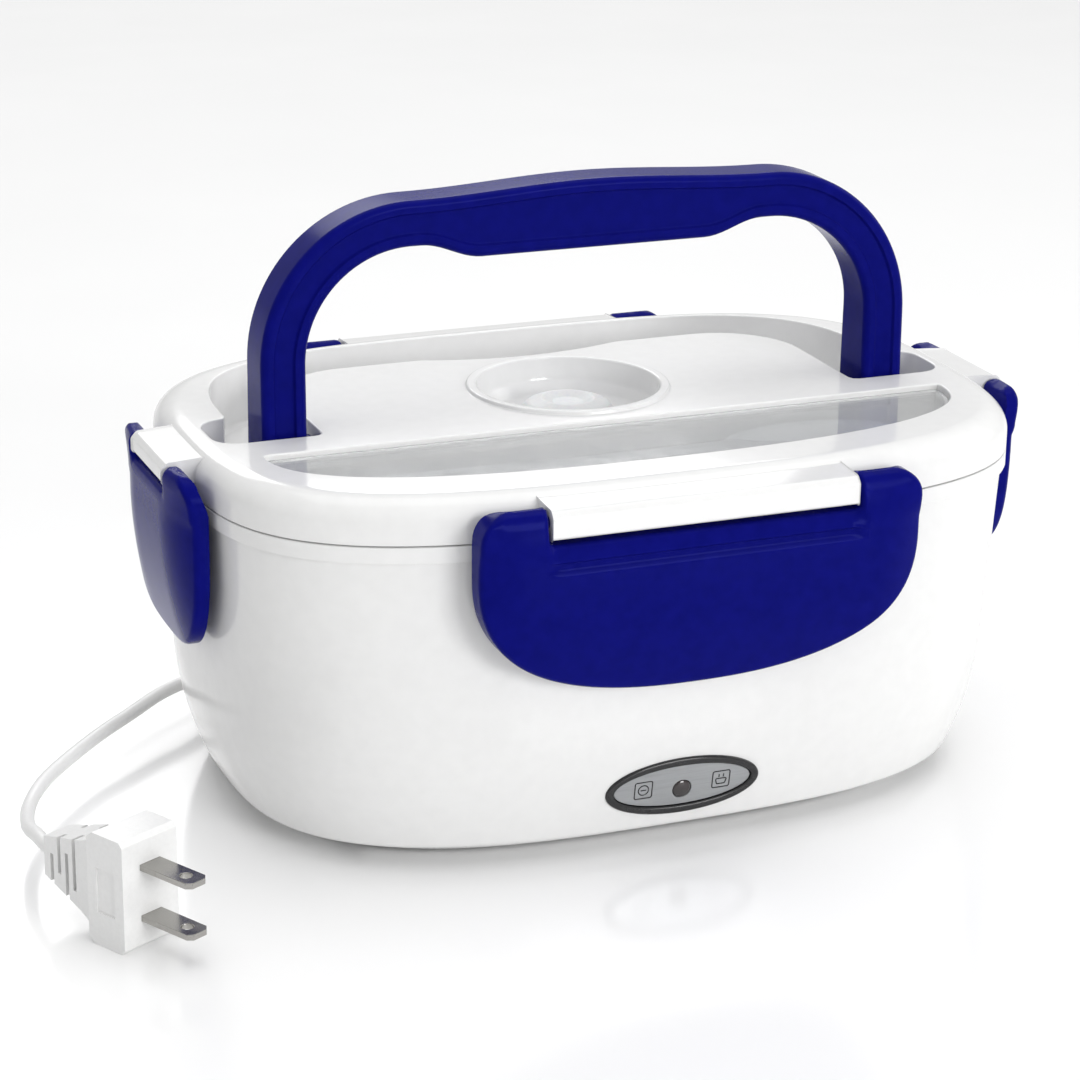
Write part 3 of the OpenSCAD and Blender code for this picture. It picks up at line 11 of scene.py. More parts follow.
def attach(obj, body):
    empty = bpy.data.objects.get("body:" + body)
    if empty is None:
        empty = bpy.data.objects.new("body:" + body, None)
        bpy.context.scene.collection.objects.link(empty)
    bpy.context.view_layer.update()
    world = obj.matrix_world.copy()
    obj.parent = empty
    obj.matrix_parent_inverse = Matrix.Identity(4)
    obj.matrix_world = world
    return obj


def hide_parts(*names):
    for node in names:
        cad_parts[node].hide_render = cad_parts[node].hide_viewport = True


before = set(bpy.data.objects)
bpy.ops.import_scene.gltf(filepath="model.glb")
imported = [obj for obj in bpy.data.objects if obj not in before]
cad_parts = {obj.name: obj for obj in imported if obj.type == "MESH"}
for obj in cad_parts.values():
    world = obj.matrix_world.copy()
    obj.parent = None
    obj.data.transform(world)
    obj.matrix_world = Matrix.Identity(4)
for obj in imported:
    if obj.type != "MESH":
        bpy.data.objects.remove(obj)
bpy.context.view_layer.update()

body = {
    "halfLength": 106.5, "halfWidth": 72.2, "squareness": 3.3,
    "rim": 96.5, "seam": 85.5, "bandTop": 85.2, "bandBottom": 81.0, "bottom": 5.1,
    "bandStep": 1.0, "wall": 2.4, "draftLength": 3.0, "draftWidth": 1.7,
    "footTurnLength": 5.8, "footTurnWidth": 3.1, "steps": 256,
}
view = {
    "place": (-297.06, -713.31, 327.11), "azimuth": 21.86, "down": 19.27, "roll": 0.67,
    "lens": 104.9, "sensor": 36.0,
}


def squareRound(halfX, halfY, power, angle):
    c, s = np.cos(angle), np.sin(angle)
    return np.stack([halfX * np.sign(c) * np.abs(c) ** (2 / power),
                     halfY * np.sign(s) * np.abs(s) ** (2 / power)], -1)


def runLength(points):
    return np.concatenate([[0], np.cumsum(np.linalg.norm(np.diff(points, axis=0), axis=1))])


def evenAngles(count, halfX, halfY, power):
    t = np.linspace(0, 2 * np.pi, 40001)
    s = runLength(squareRound(halfX, halfY, power, t))
    return np.interp(np.linspace(0, s[-1], count, endpoint=False), s, t)


bodyAngles = evenAngles(body["steps"], body["halfLength"], body["halfWidth"], body["squareness"])


def level(xy, z):
    # flat points, or one row of numbers, with a height added
    return np.column_stack([xy, np.full(len(xy), z)])


def bodyRing(z, inset):
    return level(squareRound(body["halfLength"] - inset, body["halfWidth"] - inset, body["squareness"], bodyAngles), z)


def ellipseRing(halfX, halfY, z, steps=96, centre=(0, 0)):
    t = np.linspace(0, 2 * np.pi, steps, endpoint=False)
    return np.column_stack([centre[0] + halfX * np.cos(t), centre[1] + halfY * np.sin(t), np.full(steps, z)])


def resample(points, step=1.0, count=None):
    # a closed loop with its points evenly spread, by their distance or their count
    points = np.vstack([points, points[:1]])
    s = runLength(points)
    count = count or max(3, int(round(s[-1] / step)))
    at = np.linspace(0, s[-1], count, endpoint=False)
    return np.column_stack([np.interp(at, s, column) for column in points.T])


def smoothed(points, spread, grain, reach):
    # a closed loop with its corners rounded by a moving average of that spread
    fine = resample(np.array(points, float), grain)
    weight = np.exp(-0.5 * (np.arange(-reach, reach + 1) * grain / spread) ** 2)
    weight /= weight.sum()
    return np.column_stack([np.convolve(np.concatenate([c[-reach:], c, c[:reach]]), weight, "valid")
                            for c in fine.T])


def softLoop(points, spread, step):
    grain = 0.2
    loop = resample(smoothed(points, spread, grain, int(spread * 3 / grain)), step)
    area = np.sum(loop[:, 0] * np.roll(loop[:, 1], -1) - np.roll(loop[:, 0], -1) * loop[:, 1])
    return loop if area > 0 else loop[::-1].copy()


def grown(loop, distance):
    # a counter-clockwise loop moved outwards
    side = np.roll(loop, -1, 0) - np.roll(loop, 1, 0)
    side /= np.linalg.norm(side, axis=1)[:, None]
    return loop + distance * np.column_stack([side[:, 1], -side[:, 0]])


def arc(centre, radius, start, end, count):
    a = np.radians(np.linspace(start, end, count))
    return np.column_stack([centre[0] + radius * np.cos(a), centre[1] + radius * np.sin(a)])


def roundProfile(points, radii, closed=False, count=6):
    # a profile with each corner rounded, a radius for all or one for each corner
    points = [np.array(p, float) for p in points]
    n = len(points)
    radii = radii if hasattr(radii, "__len__") else [radii] * n
    out = []
    for i, p in enumerate(points):
        if radii[i] <= 0 or not closed and i in (0, n - 1):
            out.append(p)
            continue
        a, b = points[i - 1] - p, points[(i + 1) % n] - p
        la, lb = np.linalg.norm(a), np.linalg.norm(b)
        turn = math.acos(float(np.clip(np.dot(a, b) / la / lb, -1, 1)))
        if turn > math.radians(176):
            out.append(p)
            continue
        cut = min(radii[i] / math.tan(turn / 2), 0.48 * la, 0.48 * lb)
        start, end = p + a / la * cut, p + b / lb * cut
        middle = a / la + b / lb
        middle = p + middle / np.linalg.norm(middle) * cut / math.cos(turn / 2)
        radius = np.linalg.norm(start - middle)
        first, last = start - middle, end - middle
        sweep = math.acos(float(np.clip(np.dot(first, last) / radius ** 2, -1, 1)))
        for k in range(count + 1):
            f = k / count
            out.append(middle + (math.sin((1 - f) * sweep) * first + math.sin(f * sweep) * last) / math.sin(sweep))
    return np.array(out)


def boxLoop(x, y, halfX, halfY, radius):
    signs = ((-1, -1), (1, -1), (1, 1), (-1, 1))
    return roundProfile([(x + a * halfX, y + b * halfY) for a, b in signs], radius, closed=True)


def insideLoops(loops, points):
    # which points lie within the first loop and outside the others
    inside = np.zeros(len(points), bool)
    x, y = points[:, 0], points[:, 1]
    for loop in loops:
        for (x0, y0), (x1, y1) in zip(loop, np.roll(loop, -1, 0)):
            if y0 != y1:
                inside ^= ((y0 > y) != (y1 > y)) & (x < (x1 - x0) * (y - y0) / (y1 - y0) + x0)
    return inside


class Form:
    # points and faces gathered piece by piece, in millimetres
    def __init__(self):
        self.points = []
        self.faces = []

    def add(self, points):
        start = len(self.points)
        self.points.extend([tuple(p) for p in points])
        return np.arange(start, start + len(points))

    def skin(self, rings, closed=False):
        # faces between rings of equal length, which are point arrays or lists of indices
        ids = [self.add(r) if np.asarray(r).ndim == 2 else np.asarray(r) for r in rings]
        pairs = list(zip(ids, ids[1:])) + ([(ids[-1], ids[0])] if closed else [])
        for a, b in pairs:
            n = len(a)
            for i in range(n):
                j = (i + 1) % n
                self.faces.append((int(a[i]), int(a[j]), int(b[j]), int(b[i])))
        return ids

    def plate(self, loops, axes=(0, 1), loose=(), flip=False):
        # triangles that fill the first loop and leave the others open; loose are inner points
        ids = np.concatenate([np.asarray(l) for l in loops] + ([np.asarray(loose)] if len(loose) else []))
        flat = np.array([self.points[i] for i in ids])[:, list(axes)]
        edges, start = [], 0
        for loop in loops:
            n = len(loop)
            edges += [(start + k, start + (k + 1) % n) for k in range(n)]
            start += n
        out = geometry.delaunay_2d_cdt([Vector(p) for p in flat], edges, [], 0, 1e-7)
        known = [o[0] if o else -1 for o in out[3]]
        tri = np.array([f for f in out[2] if all(known[k] >= 0 for k in f)])
        tri = np.array([[known[k] for k in f] for f in tri])
        mid = flat[tri].mean(axis=1)
        ends = np.cumsum([len(loop) for loop in loops])
        for f in tri[insideLoops(np.split(flat[:ends[-1]], ends[:-1]), mid)]:
            a, b, c = flat[f]
            turn = (b[0] - a[0]) * (c[1] - a[1]) - (b[1] - a[1]) * (c[0] - a[0])
            f = f if (turn > 0) != flip else f[::-1]
            self.faces.append(tuple(int(ids[k]) for k in f))

    def cap(self, ids, flip=False):
        self.faces.append(tuple(int(i) for i in (ids[::-1] if flip else ids)))

    def moved(self, matrix):
        m = np.array(matrix)
        p = np.array(self.points) @ m[:3, :3].T + m[:3, 3]
        self.points = [tuple(q) for q in p]
        return self

    def join(self, other):
        start = len(self.points)
        self.points += other.points
        self.faces += [tuple(i + start for i in f) for f in other.faces]
        return self


def place(x=0, y=0, z=0, turn=0, tilt=0):
    # turn is about Z and tilt about X before it, in degrees
    return (Matrix.Translation((x, y, z)) @ Matrix.Rotation(math.radians(turn), 4, "Z")
            @ Matrix.Rotation(math.radians(tilt), 4, "X"))


def quarter(count=5):
    # one minus the cosine and one minus the sine, over a quarter turn
    return [(1 - math.cos(a), 1 - math.sin(a)) for a in [math.pi / 2 * k / count for k in range(count + 1)]]


def cappedForm(rings):
    # a skin over the rings, closed at both ends
    form = Form()
    ids = form.skin(rings)
    form.cap(ids[0], flip=True)
    form.cap(ids[-1])
    return form


def lathe(profile, centre=(0, 0), steps=96):
    # a profile of (radius, height) turned about a vertical line
    return cappedForm([ellipseRing(r, r, z, steps, centre) for r, z in profile])


def prism(loop, low, high, soft, toPoint=lambda u, v, w: (u, v, w), steps=3):
    # a loop pushed from low to high along its third axis, both ends with a rounded edge
    rings = []
    for end, sign in ((low, -1), (high, 1)):
        part = [(end - sign * soft * v, -soft * u) for u, v in quarter(steps)]
        rings += part[::-1] if sign < 0 else part
    return cappedForm([np.array([toPoint(p[0], p[1], w) for p in grown(loop, inset)]) for w, inset in rings])


def newMesh(name, points, faces=()):
    # millimetres are written as metres
    mesh = bpy.data.meshes.new(name)
    mesh.from_pydata([(x / 1000, y / 1000, z / 1000) for x, y, z in points], [], list(faces))
    return mesh


def newObject(name, data):
    obj = bpy.data.objects.new(name, data)
    bpy.context.scene.collection.objects.link(obj)
    return obj


def faceOutwards(mesh, mergeWithin=None):
    bm = bmesh.new()
    bm.from_mesh(mesh)
    if mergeWithin:
        bmesh.ops.remove_doubles(bm, verts=bm.verts, dist=mergeWithin)
        bmesh.ops.dissolve_degenerate(bm, dist=1e-7, edges=bm.edges)
    bmesh.ops.recalc_face_normals(bm, faces=bm.faces)
    bm.to_mesh(mesh)
    bm.free()


def evenShading(obj, sharp, weight=50):
    mesh = obj.data
    mesh.polygons.foreach_set("use_smooth", [True] * len(mesh.polygons))
    mesh.set_sharp_from_angle(angle=math.radians(sharp))
    shading = obj.modifiers.new("evenShading", "WEIGHTED_NORMAL")
    shading.keep_sharp = True
    shading.weight = weight


def finishPiece(obj, bodyName, nodes, sharp=35):
    faceOutwards(obj.data, 2e-6)
    evenShading(obj, sharp, 80)
    obj.data.update()
    return rides(obj, bodyName, nodes)


def rides(obj, bodyName, nodes):
    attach(obj, bodyName)
    if nodes:
        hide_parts(*nodes)
    return obj


def makePiece(name, form, bodyName, slot, nodes=(), sharp=35):
    obj = newObject(name, newMesh(name, form.points, form.faces))
    obj.data.materials.append(finishes[slot])
    return finishPiece(obj, bodyName, nodes, sharp)


# The photograph's view, and the floor and light round the object
def setCamera():
    turn, down, roll = (math.radians(view[k]) for k in ("azimuth", "down", "roll"))
    ahead = Vector((math.sin(turn) * math.cos(down), math.cos(turn) * math.cos(down), -math.sin(down)))
    across = Vector((math.cos(turn), -math.sin(turn), 0))
    up = across.cross(ahead)
    right = across * math.cos(roll) + up * math.sin(roll)
    top = up * math.cos(roll) - across * math.sin(roll)
    data = bpy.data.cameras.new("photoCamera")
    data.lens, data.sensor_width = view["lens"], view["sensor"]
    data.clip_start, data.clip_end = 0.05, 20
    camera = newObject("photoCamera", data)
    camera.matrix_world = Matrix((
        (right.x, top.x, -ahead.x, view["place"][0] / 1000),
        (right.y, top.y, -ahead.y, view["place"][1] / 1000),
        (right.z, top.z, -ahead.z, view["place"][2] / 1000),
        (0, 0, 0, 1)))
    bpy.context.scene.camera = camera


def principled(name, colour, roughness, **sockets):
    material = bpy.data.materials.new(name)
    material.use_nodes = True
    tree = material.node_tree
    node = tree.nodes["Principled BSDF"]
    node.inputs["Base Color"].default_value = (*colour, 1)
    node.inputs["Roughness"].default_value = roughness
    for socket, value in sockets.items():
        node.inputs[socket.replace("_", " ")].default_value = value
    return material, tree, node


def addNode(tree, kind, values=(), links=(), **settings):
    # a shader node with its settings, its socket values and what feeds it
    node = tree.nodes.new("ShaderNode" + kind)
    for name, value in settings.items():
        setattr(node, name, value)
    for socket, value in dict(values).items():
        node.inputs[socket].default_value = value
    for socket, source in dict(links).items():
        tree.links.new(source, node.inputs[socket])
    return node.outputs


def objectPoint(tree, stretch=(1, 1, 1)):
    return addNode(tree, "Mapping", {"Scale": stretch}, {"Vector": addNode(tree, "TexCoord")["Object"]})["Vector"]


def noise(tree, point, scale, detail=2.0, rough=0.5):
    return addNode(tree, "TexNoise", {"Scale": scale, "Detail": detail, "Roughness": rough}, {"Vector": point})["Fac"]


def spread(tree, value, low, high, start=0.3, end=0.7):
    limits = {"From Min": start, "From Max": end, "To Min": low, "To Max": high}
    return addNode(tree, "MapRange", limits, {"Value": value})["Result"]


def mixColour(tree, value, first, second):
    colours = {"A": (*first, 1), "B": (*second, 1)}
    return addNode(tree, "Mix", colours, {"Factor": value}, data_type="RGBA")["Result"]


def bump(tree, height, node, depth):
    surface = addNode(tree, "Bump", {"Strength": 1.0, "Distance": depth}, {"Height": height})
    tree.links.new(surface["Normal"], node.inputs["Normal"])


def weighted(tree, value, factor, added):
    return addNode(tree, "Math", {1: factor}, {0: value, 2: added}, operation="MULTIPLY_ADD")[0]


def mouldedPlastic(name, colour, shade, roughness, ripple=0.00001, scale=260, **sockets):
    # smooth moulded plastic: a slow ripple of the mould, a trace of sheen change and fine dust-like grain
    material, tree, node = principled(name, colour, roughness, **sockets)
    point = objectPoint(tree)
    slow = noise(tree, point, scale, 2)
    grain = noise(tree, point, 3200, 3)
    tree.links.new(mixColour(tree, spread(tree, slow, 0, 1), colour, shade), node.inputs["Base Color"])
    tree.links.new(spread(tree, grain, roughness * 0.85, roughness * 1.25), node.inputs["Roughness"])
    bump(tree, weighted(tree, grain, 0.08, slow), node, ripple)
    return material


def brushedMetal(name, colour, roughness, along=(1, 60, 60), scale=40):
    material, tree, node = principled(name, colour, roughness, Metallic=1.0)
    lines = noise(tree, objectPoint(tree, along), scale, 5, 0.65)
    blotch = noise(tree, objectPoint(tree), 35, 2)
    darker = tuple(c * 0.82 for c in colour)
    tree.links.new(mixColour(tree, spread(tree, lines, 0, 1), darker, colour), node.inputs["Base Color"])
    mixed = weighted(tree, blotch, 0.35, lines)
    tree.links.new(spread(tree, mixed, roughness * 0.7, roughness * 1.5, 0.4, 0.9), node.inputs["Roughness"])
    bump(tree, lines, node, 0.00002)
    return material


finishes = {
    "white_plastic": mouldedPlastic("whitePlastic", (0.80, 0.80, 0.795), (0.78, 0.78, 0.775), 0.13,
                                    Specular_IOR_Level=0.5),
    "blue_plastic": mouldedPlastic("bluePlastic", (0.004, 0.005, 0.155), (0.003, 0.004, 0.13), 0.2,
                                   Specular_IOR_Level=0.05, Specular_Tint=(0.25, 0.3, 1.0, 1.0)),
    "stainless": brushedMetal("stainless", (0.66, 0.66, 0.65), 0.2),
    "plate_aluminium": brushedMetal("heaterAluminium", (0.56, 0.57, 0.58), 0.34, along=(1, 12, 12)),
    "white_silicone": mouldedPlastic("siliconeRubber", (0.72, 0.73, 0.73), (0.68, 0.69, 0.70), 0.42, 0.00003, 900,
                                     Subsurface_Weight=0.15, Subsurface_Scale=0.003),
    "foot_rubber": mouldedPlastic("footRubber", (0.03, 0.03, 0.032), (0.05, 0.05, 0.052), 0.6, 0.00008, 1500),
    "liner_plastic": mouldedPlastic("linerPlastic", (0.66, 0.67, 0.67), (0.63, 0.64, 0.645), 0.3, 0.00002),
    "dish_plastic": mouldedPlastic("dishPlastic", (0.74, 0.745, 0.73), (0.70, 0.71, 0.70), 0.26, 0.00002),
    "spoon_plastic": mouldedPlastic("spoonPlastic", (0.72, 0.73, 0.74), (0.69, 0.70, 0.71), 0.24, 0.00002),
    "screw_steel": brushedMetal("screwSteel", (0.42, 0.42, 0.43), 0.28, along=(1, 1, 1), scale=900),
    "bezel_plastic": mouldedPlastic("bezelPlastic", (0.012, 0.012, 0.013), (0.018, 0.018, 0.019), 0.16),
    "panel_metal": brushedMetal("panelMetal", (0.43, 0.44, 0.45), 0.34, along=(1, 30, 30), scale=90),
    "lens_plastic": mouldedPlastic("lensPlastic", (0.02, 0.016, 0.016), (0.03, 0.02, 0.02), 0.08,
                                   Coat_Weight=0.6, Coat_Roughness=0.03),
    "board_resin": mouldedPlastic("boardResin", (0.02, 0.16, 0.06), (0.03, 0.2, 0.08), 0.4, 0.00004, 700),
    "dark_resin": mouldedPlastic("darkResin", (0.025, 0.025, 0.027), (0.035, 0.035, 0.037), 0.38, 0.00003, 600),
    "wire_sleeve": mouldedPlastic("wireSleeve", (0.45, 0.03, 0.02), (0.5, 0.05, 0.04), 0.45, 0.00004, 900),
    "contact_brass": brushedMetal("contactBrass", (0.72, 0.52, 0.22), 0.24, along=(1, 1, 1), scale=500),
    "cord_vinyl": mouldedPlastic("cordVinyl", (0.84, 0.84, 0.835), (0.81, 0.81, 0.805), 0.32, 0.00002, 900),
    "blade_metal": brushedMetal("bladeMetal", (0.42, 0.41, 0.39), 0.22, along=(1, 1, 20), scale=60),
}


def clearPlastic():
    # clear moulded cover: see-through, with a faint haze and flow ripple
    material, tree, node = principled("clearPlastic", (0.95, 0.96, 0.965), 0.04, IOR=1.46, Alpha=0.75,
                                      Transmission_Weight=0.9, Specular_IOR_Level=0.8)
    point = objectPoint(tree)
    haze = noise(tree, point, 300, 3)
    tree.links.new(spread(tree, haze, 0.03, 0.07), node.inputs["Roughness"])
    bump(tree, noise(tree, point, 45, 1), node, 0.00004)
    return material


finishes["clear_cover"] = clearPlastic()
print("materials", len(finishes))


studio = {"sideGlow": 0.5, "topGlow": 0.8}


def floorAndLight():
    material, tree, node = principled("paleFloor", (0.95, 0.95, 0.95), 0.16, Specular_IOR_Level=0.5)
    tree.links.new(spread(tree, noise(tree, objectPoint(tree), 9, 3), 0.14, 0.18), node.inputs["Roughness"])
    wide = 6000
    square = [(-wide, -wide, 0), (wide, -wide, 0), (wide, wide, 0), (-wide, wide, 0)]
    floor = newObject("floor", newMesh("floor", square, [(0, 1, 2, 3)]))
    floor.data.materials.append(material)
    world = bpy.data.worlds.new("studio")
    world.use_nodes = True
    tree = world.node_tree
    direction = addNode(tree, "SeparateXYZ", links={"Vector": addNode(tree, "TexCoord")["Generated"]})
    brightness = spread(tree, direction["Z"], studio["sideGlow"], studio["topGlow"], 0.0, 0.9)
    tree.nodes["Background"].inputs["Color"].default_value = (1, 1, 1, 1)
    tree.links.new(brightness, tree.nodes["Background"].inputs["Strength"])
    bpy.context.scene.world = world
    lamps = {
        # name: place, aim, width, height, watts
        "topBox": ((0.05, 0.1, 1.5), (0, 0, 0.05), 1.4, 1.0, 6),
        "frontBox": ((0.45, -1.45, 0.5), (0.02, 0, 0.06), 0.6, 0.5, 10),
        "rightBox": ((1.3, -0.1, 0.7), (0, 0, 0.05), 0.7, 0.7, 2.5),
        "backBox": ((0.5, 2.6, 1.5), (0.6, 1.6, 0), 2.0, 1.0, 21),
    }
    for name, (at, aim, width, height, watts) in lamps.items():
        data = bpy.data.lights.new(name, "AREA")
        data.shape, data.size, data.size_y, data.energy = "RECTANGLE", width, height, watts
        lamp = newObject(name, data)
        lamp.location = at
        lamp.rotation_euler = (Vector(aim) - Vector(at)).to_track_quat("-Z", "Y").to_euler()


setCamera()
floorAndLight()
bpy.context.scene.view_settings.view_transform = "Standard"
print("camera, floor and light")

# The mains lead: from the connector, through the coil behind the box, to the plug
lead = {
    "diameter": 3.6, "exit": (-45, 97.2, 20), "coil": (15, 135), "coilRadius": 28.0, "coilStep": 4.2,
    "loops": 2.5, "lift": 0.1,
    "plugFace": (-136.1, -76.2, 14), "plugTurn": -62, "plugLength": 12, "reliefLength": 20,
}


def smoothLine(points, steps):
    p = np.array(points, float)
    out = []
    for i in range(len(p) - 1):
        a, b, c, d = p[max(i - 1, 0)], p[i], p[i + 1], p[min(i + 2, len(p) - 1)]
        for k in range(steps):
            t = k / steps
            out.append(0.5 * (2 * b + (c - a) * t + (2 * a - 5 * b + 4 * c - d) * t * t
                              + (3 * b - a - 3 * c + d) * t ** 3))
    return np.array(out + [p[-1]])


def coilPoint(f):
    turns = 2 * lead["loops"] + 0.5
    angle = math.radians(180 - 360 * f)
    r = lead["coilRadius"] - lead["coilStep"] * min(f, turns - f)
    climb = min(max((f - lead["loops"]) / 0.5, 0), 1)
    z = lead["diameter"] / 2 + lead["lift"] + lead["coilStep"] * (1 - math.cos(math.pi * climb)) / 2
    return np.array([lead["coil"][0] + r * math.cos(angle), lead["coil"][1] + r * math.sin(angle), z])


def leadPath():
    turns = 2 * lead["loops"] + 0.5
    back = np.array([0, lead["diameter"], 0])
    first, last = coilPoint(0), coilPoint(turns)
    coil = [first - back, first - back / 2] + [coilPoint(k / 48) for k in range(int(turns * 48) + 1)]
    coil += [last - back / 2, last - back]
    coilIn, coilOut = coil[0], coil[-1]
    feed = [lead["exit"], (-45, 101.2, 20), (-43, 108, 17.5), (-36, 114, 12.5), (-26, 117, 7),
            (-18, 120, 3.5), (-13.6, 126, 2), coilIn - back, coilIn]
    turn = math.radians(lead["plugTurn"])
    ahead = np.array([math.cos(turn), math.sin(turn), 0])
    rear = np.array(lead["plugFace"]) - (lead["plugLength"] + lead["reliefLength"]) * ahead
    run = [coilOut, coilOut - back, (41, 119, 4.5), (34, 106, 2.4), (20, 98, 1.9), (0, 95, 1.9),
           (-22, 93, 2), (-44, 87, 3.5), (-62, 76, 6), (-77, 65, 8.5), (-91, 54, 10), (-101, 47, 10),
           (-112, 37, 9.5), (-123, 27, 9), (-136, 12, 9), (-144, 0, 9.5), (-150, -13, 10),
           (-153.5, -28, 12), (-153.4, -38, 13.6), rear - lead["diameter"] * ahead, rear]
    return np.vstack([smoothLine(feed, 6)[:-1], np.array(coil)[:-1], smoothLine(run, 6)])


def makeCord():
    path = leadPath()
    curve = bpy.data.curves.new("mainsCord", "CURVE")
    curve.dimensions = "3D"
    curve.bevel_depth = lead["diameter"] / 2000
    curve.bevel_resolution = 4
    curve.use_fill_caps = True
    spline = curve.splines.new("POLY")
    spline.points.add(len(path) - 1)
    for point, p in zip(spline.points, path):
        point.co = (p[0] / 1000, p[1] / 1000, p[2] / 1000, 1)
    spline.use_smooth = True
    curve.materials.append(finishes["cord_vinyl"])
    cord = rides(newObject("mainsCord", curve), "base", ["cord_feed", "cord_coil", "cord_lead"])
    return cord, float(runLength(path)[-1]) / 1000


cord, cordLength = makeCord()
print("cord", round(cordLength, 4))

lid = {
    "round": 6.6, "channelHalf": 91.0, "channelBack": 64.8, "channelSquare": 3.8, "channelFront": -10.3,
    "channelFloor": 80.0, "pocketHalf": 99.2, "pocketBack": 10.5, "pocketRound": 6.0,
    "middleHalf": 72.4, "middleBack": 44.0, "middleRound": 22.0, "dipDepth": 5.0, "dipRadius": 80.0,
    "edge": 0.4, "floorRound": 1.4, "cornerSpread": 1.5,
    "bayHalf": 91.5, "bayBack": -21.5, "bayWidth": 33.5, "baySquare": 2.5, "bayFloor": 84.5,
    "seat": 93.7, "ledge": 1.4, "baySpread": 1.0,
    "ventY": 9.0, "ventRadius": 23.9, "ventFloorRadius": 17.0, "ventFloor": 86.5, "lipHeight": 0.9,
    "lipWidth": 2.6, "stemHole": 3.8, "inside": 78.4,
    "axisZ": 91.2, "longAxisOut": 3.7, "endAxisOut": 5.6, "longBar": 39.5, "endBar": 14.0,
    "longReach": 3.4, "longUnder": 3.8, "endReach": 2.3, "endUnder": 1.9,
    "wallInset": 5.6, "roof": 4.5, "skirt": 2.4, "bayRound": 1.2,
}


sides = (("long", 0), ("long", 180), ("end", -90), ("end", 90))
corners = [(x, y) for x in (-1, 1) for y in (-1, 1)]


def channelLoop():
    s = lid
    r, x, mouth, deep = s["pocketRound"], s["pocketHalf"] - s["pocketRound"], s["channelFront"], s["pocketBack"]
    start = math.asin((deep / s["channelBack"]) ** (s["channelSquare"] / 2))
    right = np.vstack([[(s["middleHalf"], mouth)], arc((x, mouth + r), r, -90, 0, 12),
                       arc((x, deep - r), r, 0, 90, 12)])
    rear = squareRound(s["channelHalf"], s["channelBack"], s["channelSquare"], np.linspace(start, np.pi - start, 600))
    left = right[::-1] * (-1, 1)
    turn, dip = s["middleRound"], s["dipRadius"]
    m, b = s["middleHalf"] - turn, s["middleBack"] - turn
    dipY = s["middleBack"] - s["dipDepth"] + dip
    half = math.degrees(math.acos((dipY - s["middleBack"]) / dip))
    middle = np.vstack([arc((-m, b), turn, 180, 90, 30), arc((0, dipY), dip, -90 - half, -90 + half, 40),
                        arc((m, b), turn, 90, 0, 30)])
    return softLoop(np.vstack([right, rear, left, middle]), s["cornerSpread"], 1.5)


def bayLoop(inset=0.0):
    s = lid
    t = np.linspace(0, np.pi, 400)
    x = (s["bayHalf"] - inset) * np.sign(np.cos(t)) * np.abs(np.cos(t)) ** (2 / s["baySquare"])
    y = s["bayBack"] - inset - (s["bayWidth"] - 2 * inset) * np.abs(np.sin(t)) ** (2 / s["baySquare"])
    return softLoop(np.column_stack([x, y]), s["baySpread"], 1.3)


def sunk(form, loop, steps):
    # walls that go down from the lid's top along (outward offset, height), and their floor
    ids = form.skin([level(grown(loop, offset), z) for offset, z in steps])
    form.plate([ids[-1]])
    return ids[0]


def barForm(side):
    # bar on the lid between a latch's ears, on the -Y side
    half, axisOut, reach, under = (lid[side + key] for key in ("Bar", "AxisOut", "Reach", "Under"))
    plane = body["halfWidth" if side == "long" else "halfLength"]
    z, a = lid["axisZ"], -plane - axisOut
    profile = roundProfile([
        (-plane + 1.5, z - under), (a - reach, z - under), (a - reach, z + 1.6), (a - reach + 1.3, z + 3.1),
        (-plane + 4.2, z + 3.8), (-plane + 1.9, z)], [0, 0.9, 0.9, 1.2, 0, 0], closed=True)
    return prism(profile, -half, half, 0.35, lambda u, v, w: (w, u, v))


def makeLid():
    s = lid
    form = Form()
    rim, seam, wall, roof, up = body["rim"], body["seam"], s["wallInset"], s["roof"], s["round"]
    rings = [(s["inside"], wall), (rim - roof, wall), (rim - roof, s["skirt"]), (seam + 0.3, 2.1), (seam, 1.8),
             (seam, 0.3), (seam + 0.1, 0.1), (seam + 0.3, 0)]
    rings += [(rim - up + up * math.sin(a), up * (1 - math.cos(a))) for a in np.linspace(0, np.pi / 2, 13)]
    ids = form.skin([bodyRing(*ring) for ring in rings])
    e, f = s["edge"], s["floorRound"]
    rimEdge = [(e * v, rim - e * u) for u, v in quarter(4)]
    channel = sunk(form, channelLoop(), rimEdge + [(-f * u, s["channelFloor"] + f * v) for u, v in quarter()])
    ledge, low, seat = s["ledge"], s["bayRound"], s["seat"]
    bay = sunk(form, bayLoop(), rimEdge + [
        (0, seat + 0.2), (-0.2, seat), (-ledge + 0.25, seat), (-ledge, seat - 0.25)] + [
        (-ledge - low * u, s["bayFloor"] + low * v) for u, v in quarter()])
    v, floor, lip, stem = s["ventRadius"], s["ventFloor"], s["ventRadius"] + s["lipWidth"], s["stemHole"]
    profile = roundProfile([
        (lip + 0.6, rim), (lip, rim), (lip - 0.3, rim + s["lipHeight"]), (v - 0.05, rim + s["lipHeight"]),
        (v - 1, floor + 5), (v - 3.2, floor + 1.5), (s["ventFloorRadius"] - 1, floor), (stem, floor),
        (stem, s["inside"])], [0, 0.3, 0.45, 0.6, 3, 3, 2, 0.4, 0])
    vent = form.skin([ellipseRing(r, r, z, 128, (0, s["ventY"])) for r, z in profile])
    form.plate([ids[-1], channel, bay, vent[0]])
    form.plate([ids[0], vent[-1]], flip=True)
    for side, turn in sides:
        form.join(barForm(side).moved(place(turn=turn)))
    makePiece("lidShell", form, "lid", "white_plastic", ["lid_shell"])


makeLid()
print("lid")


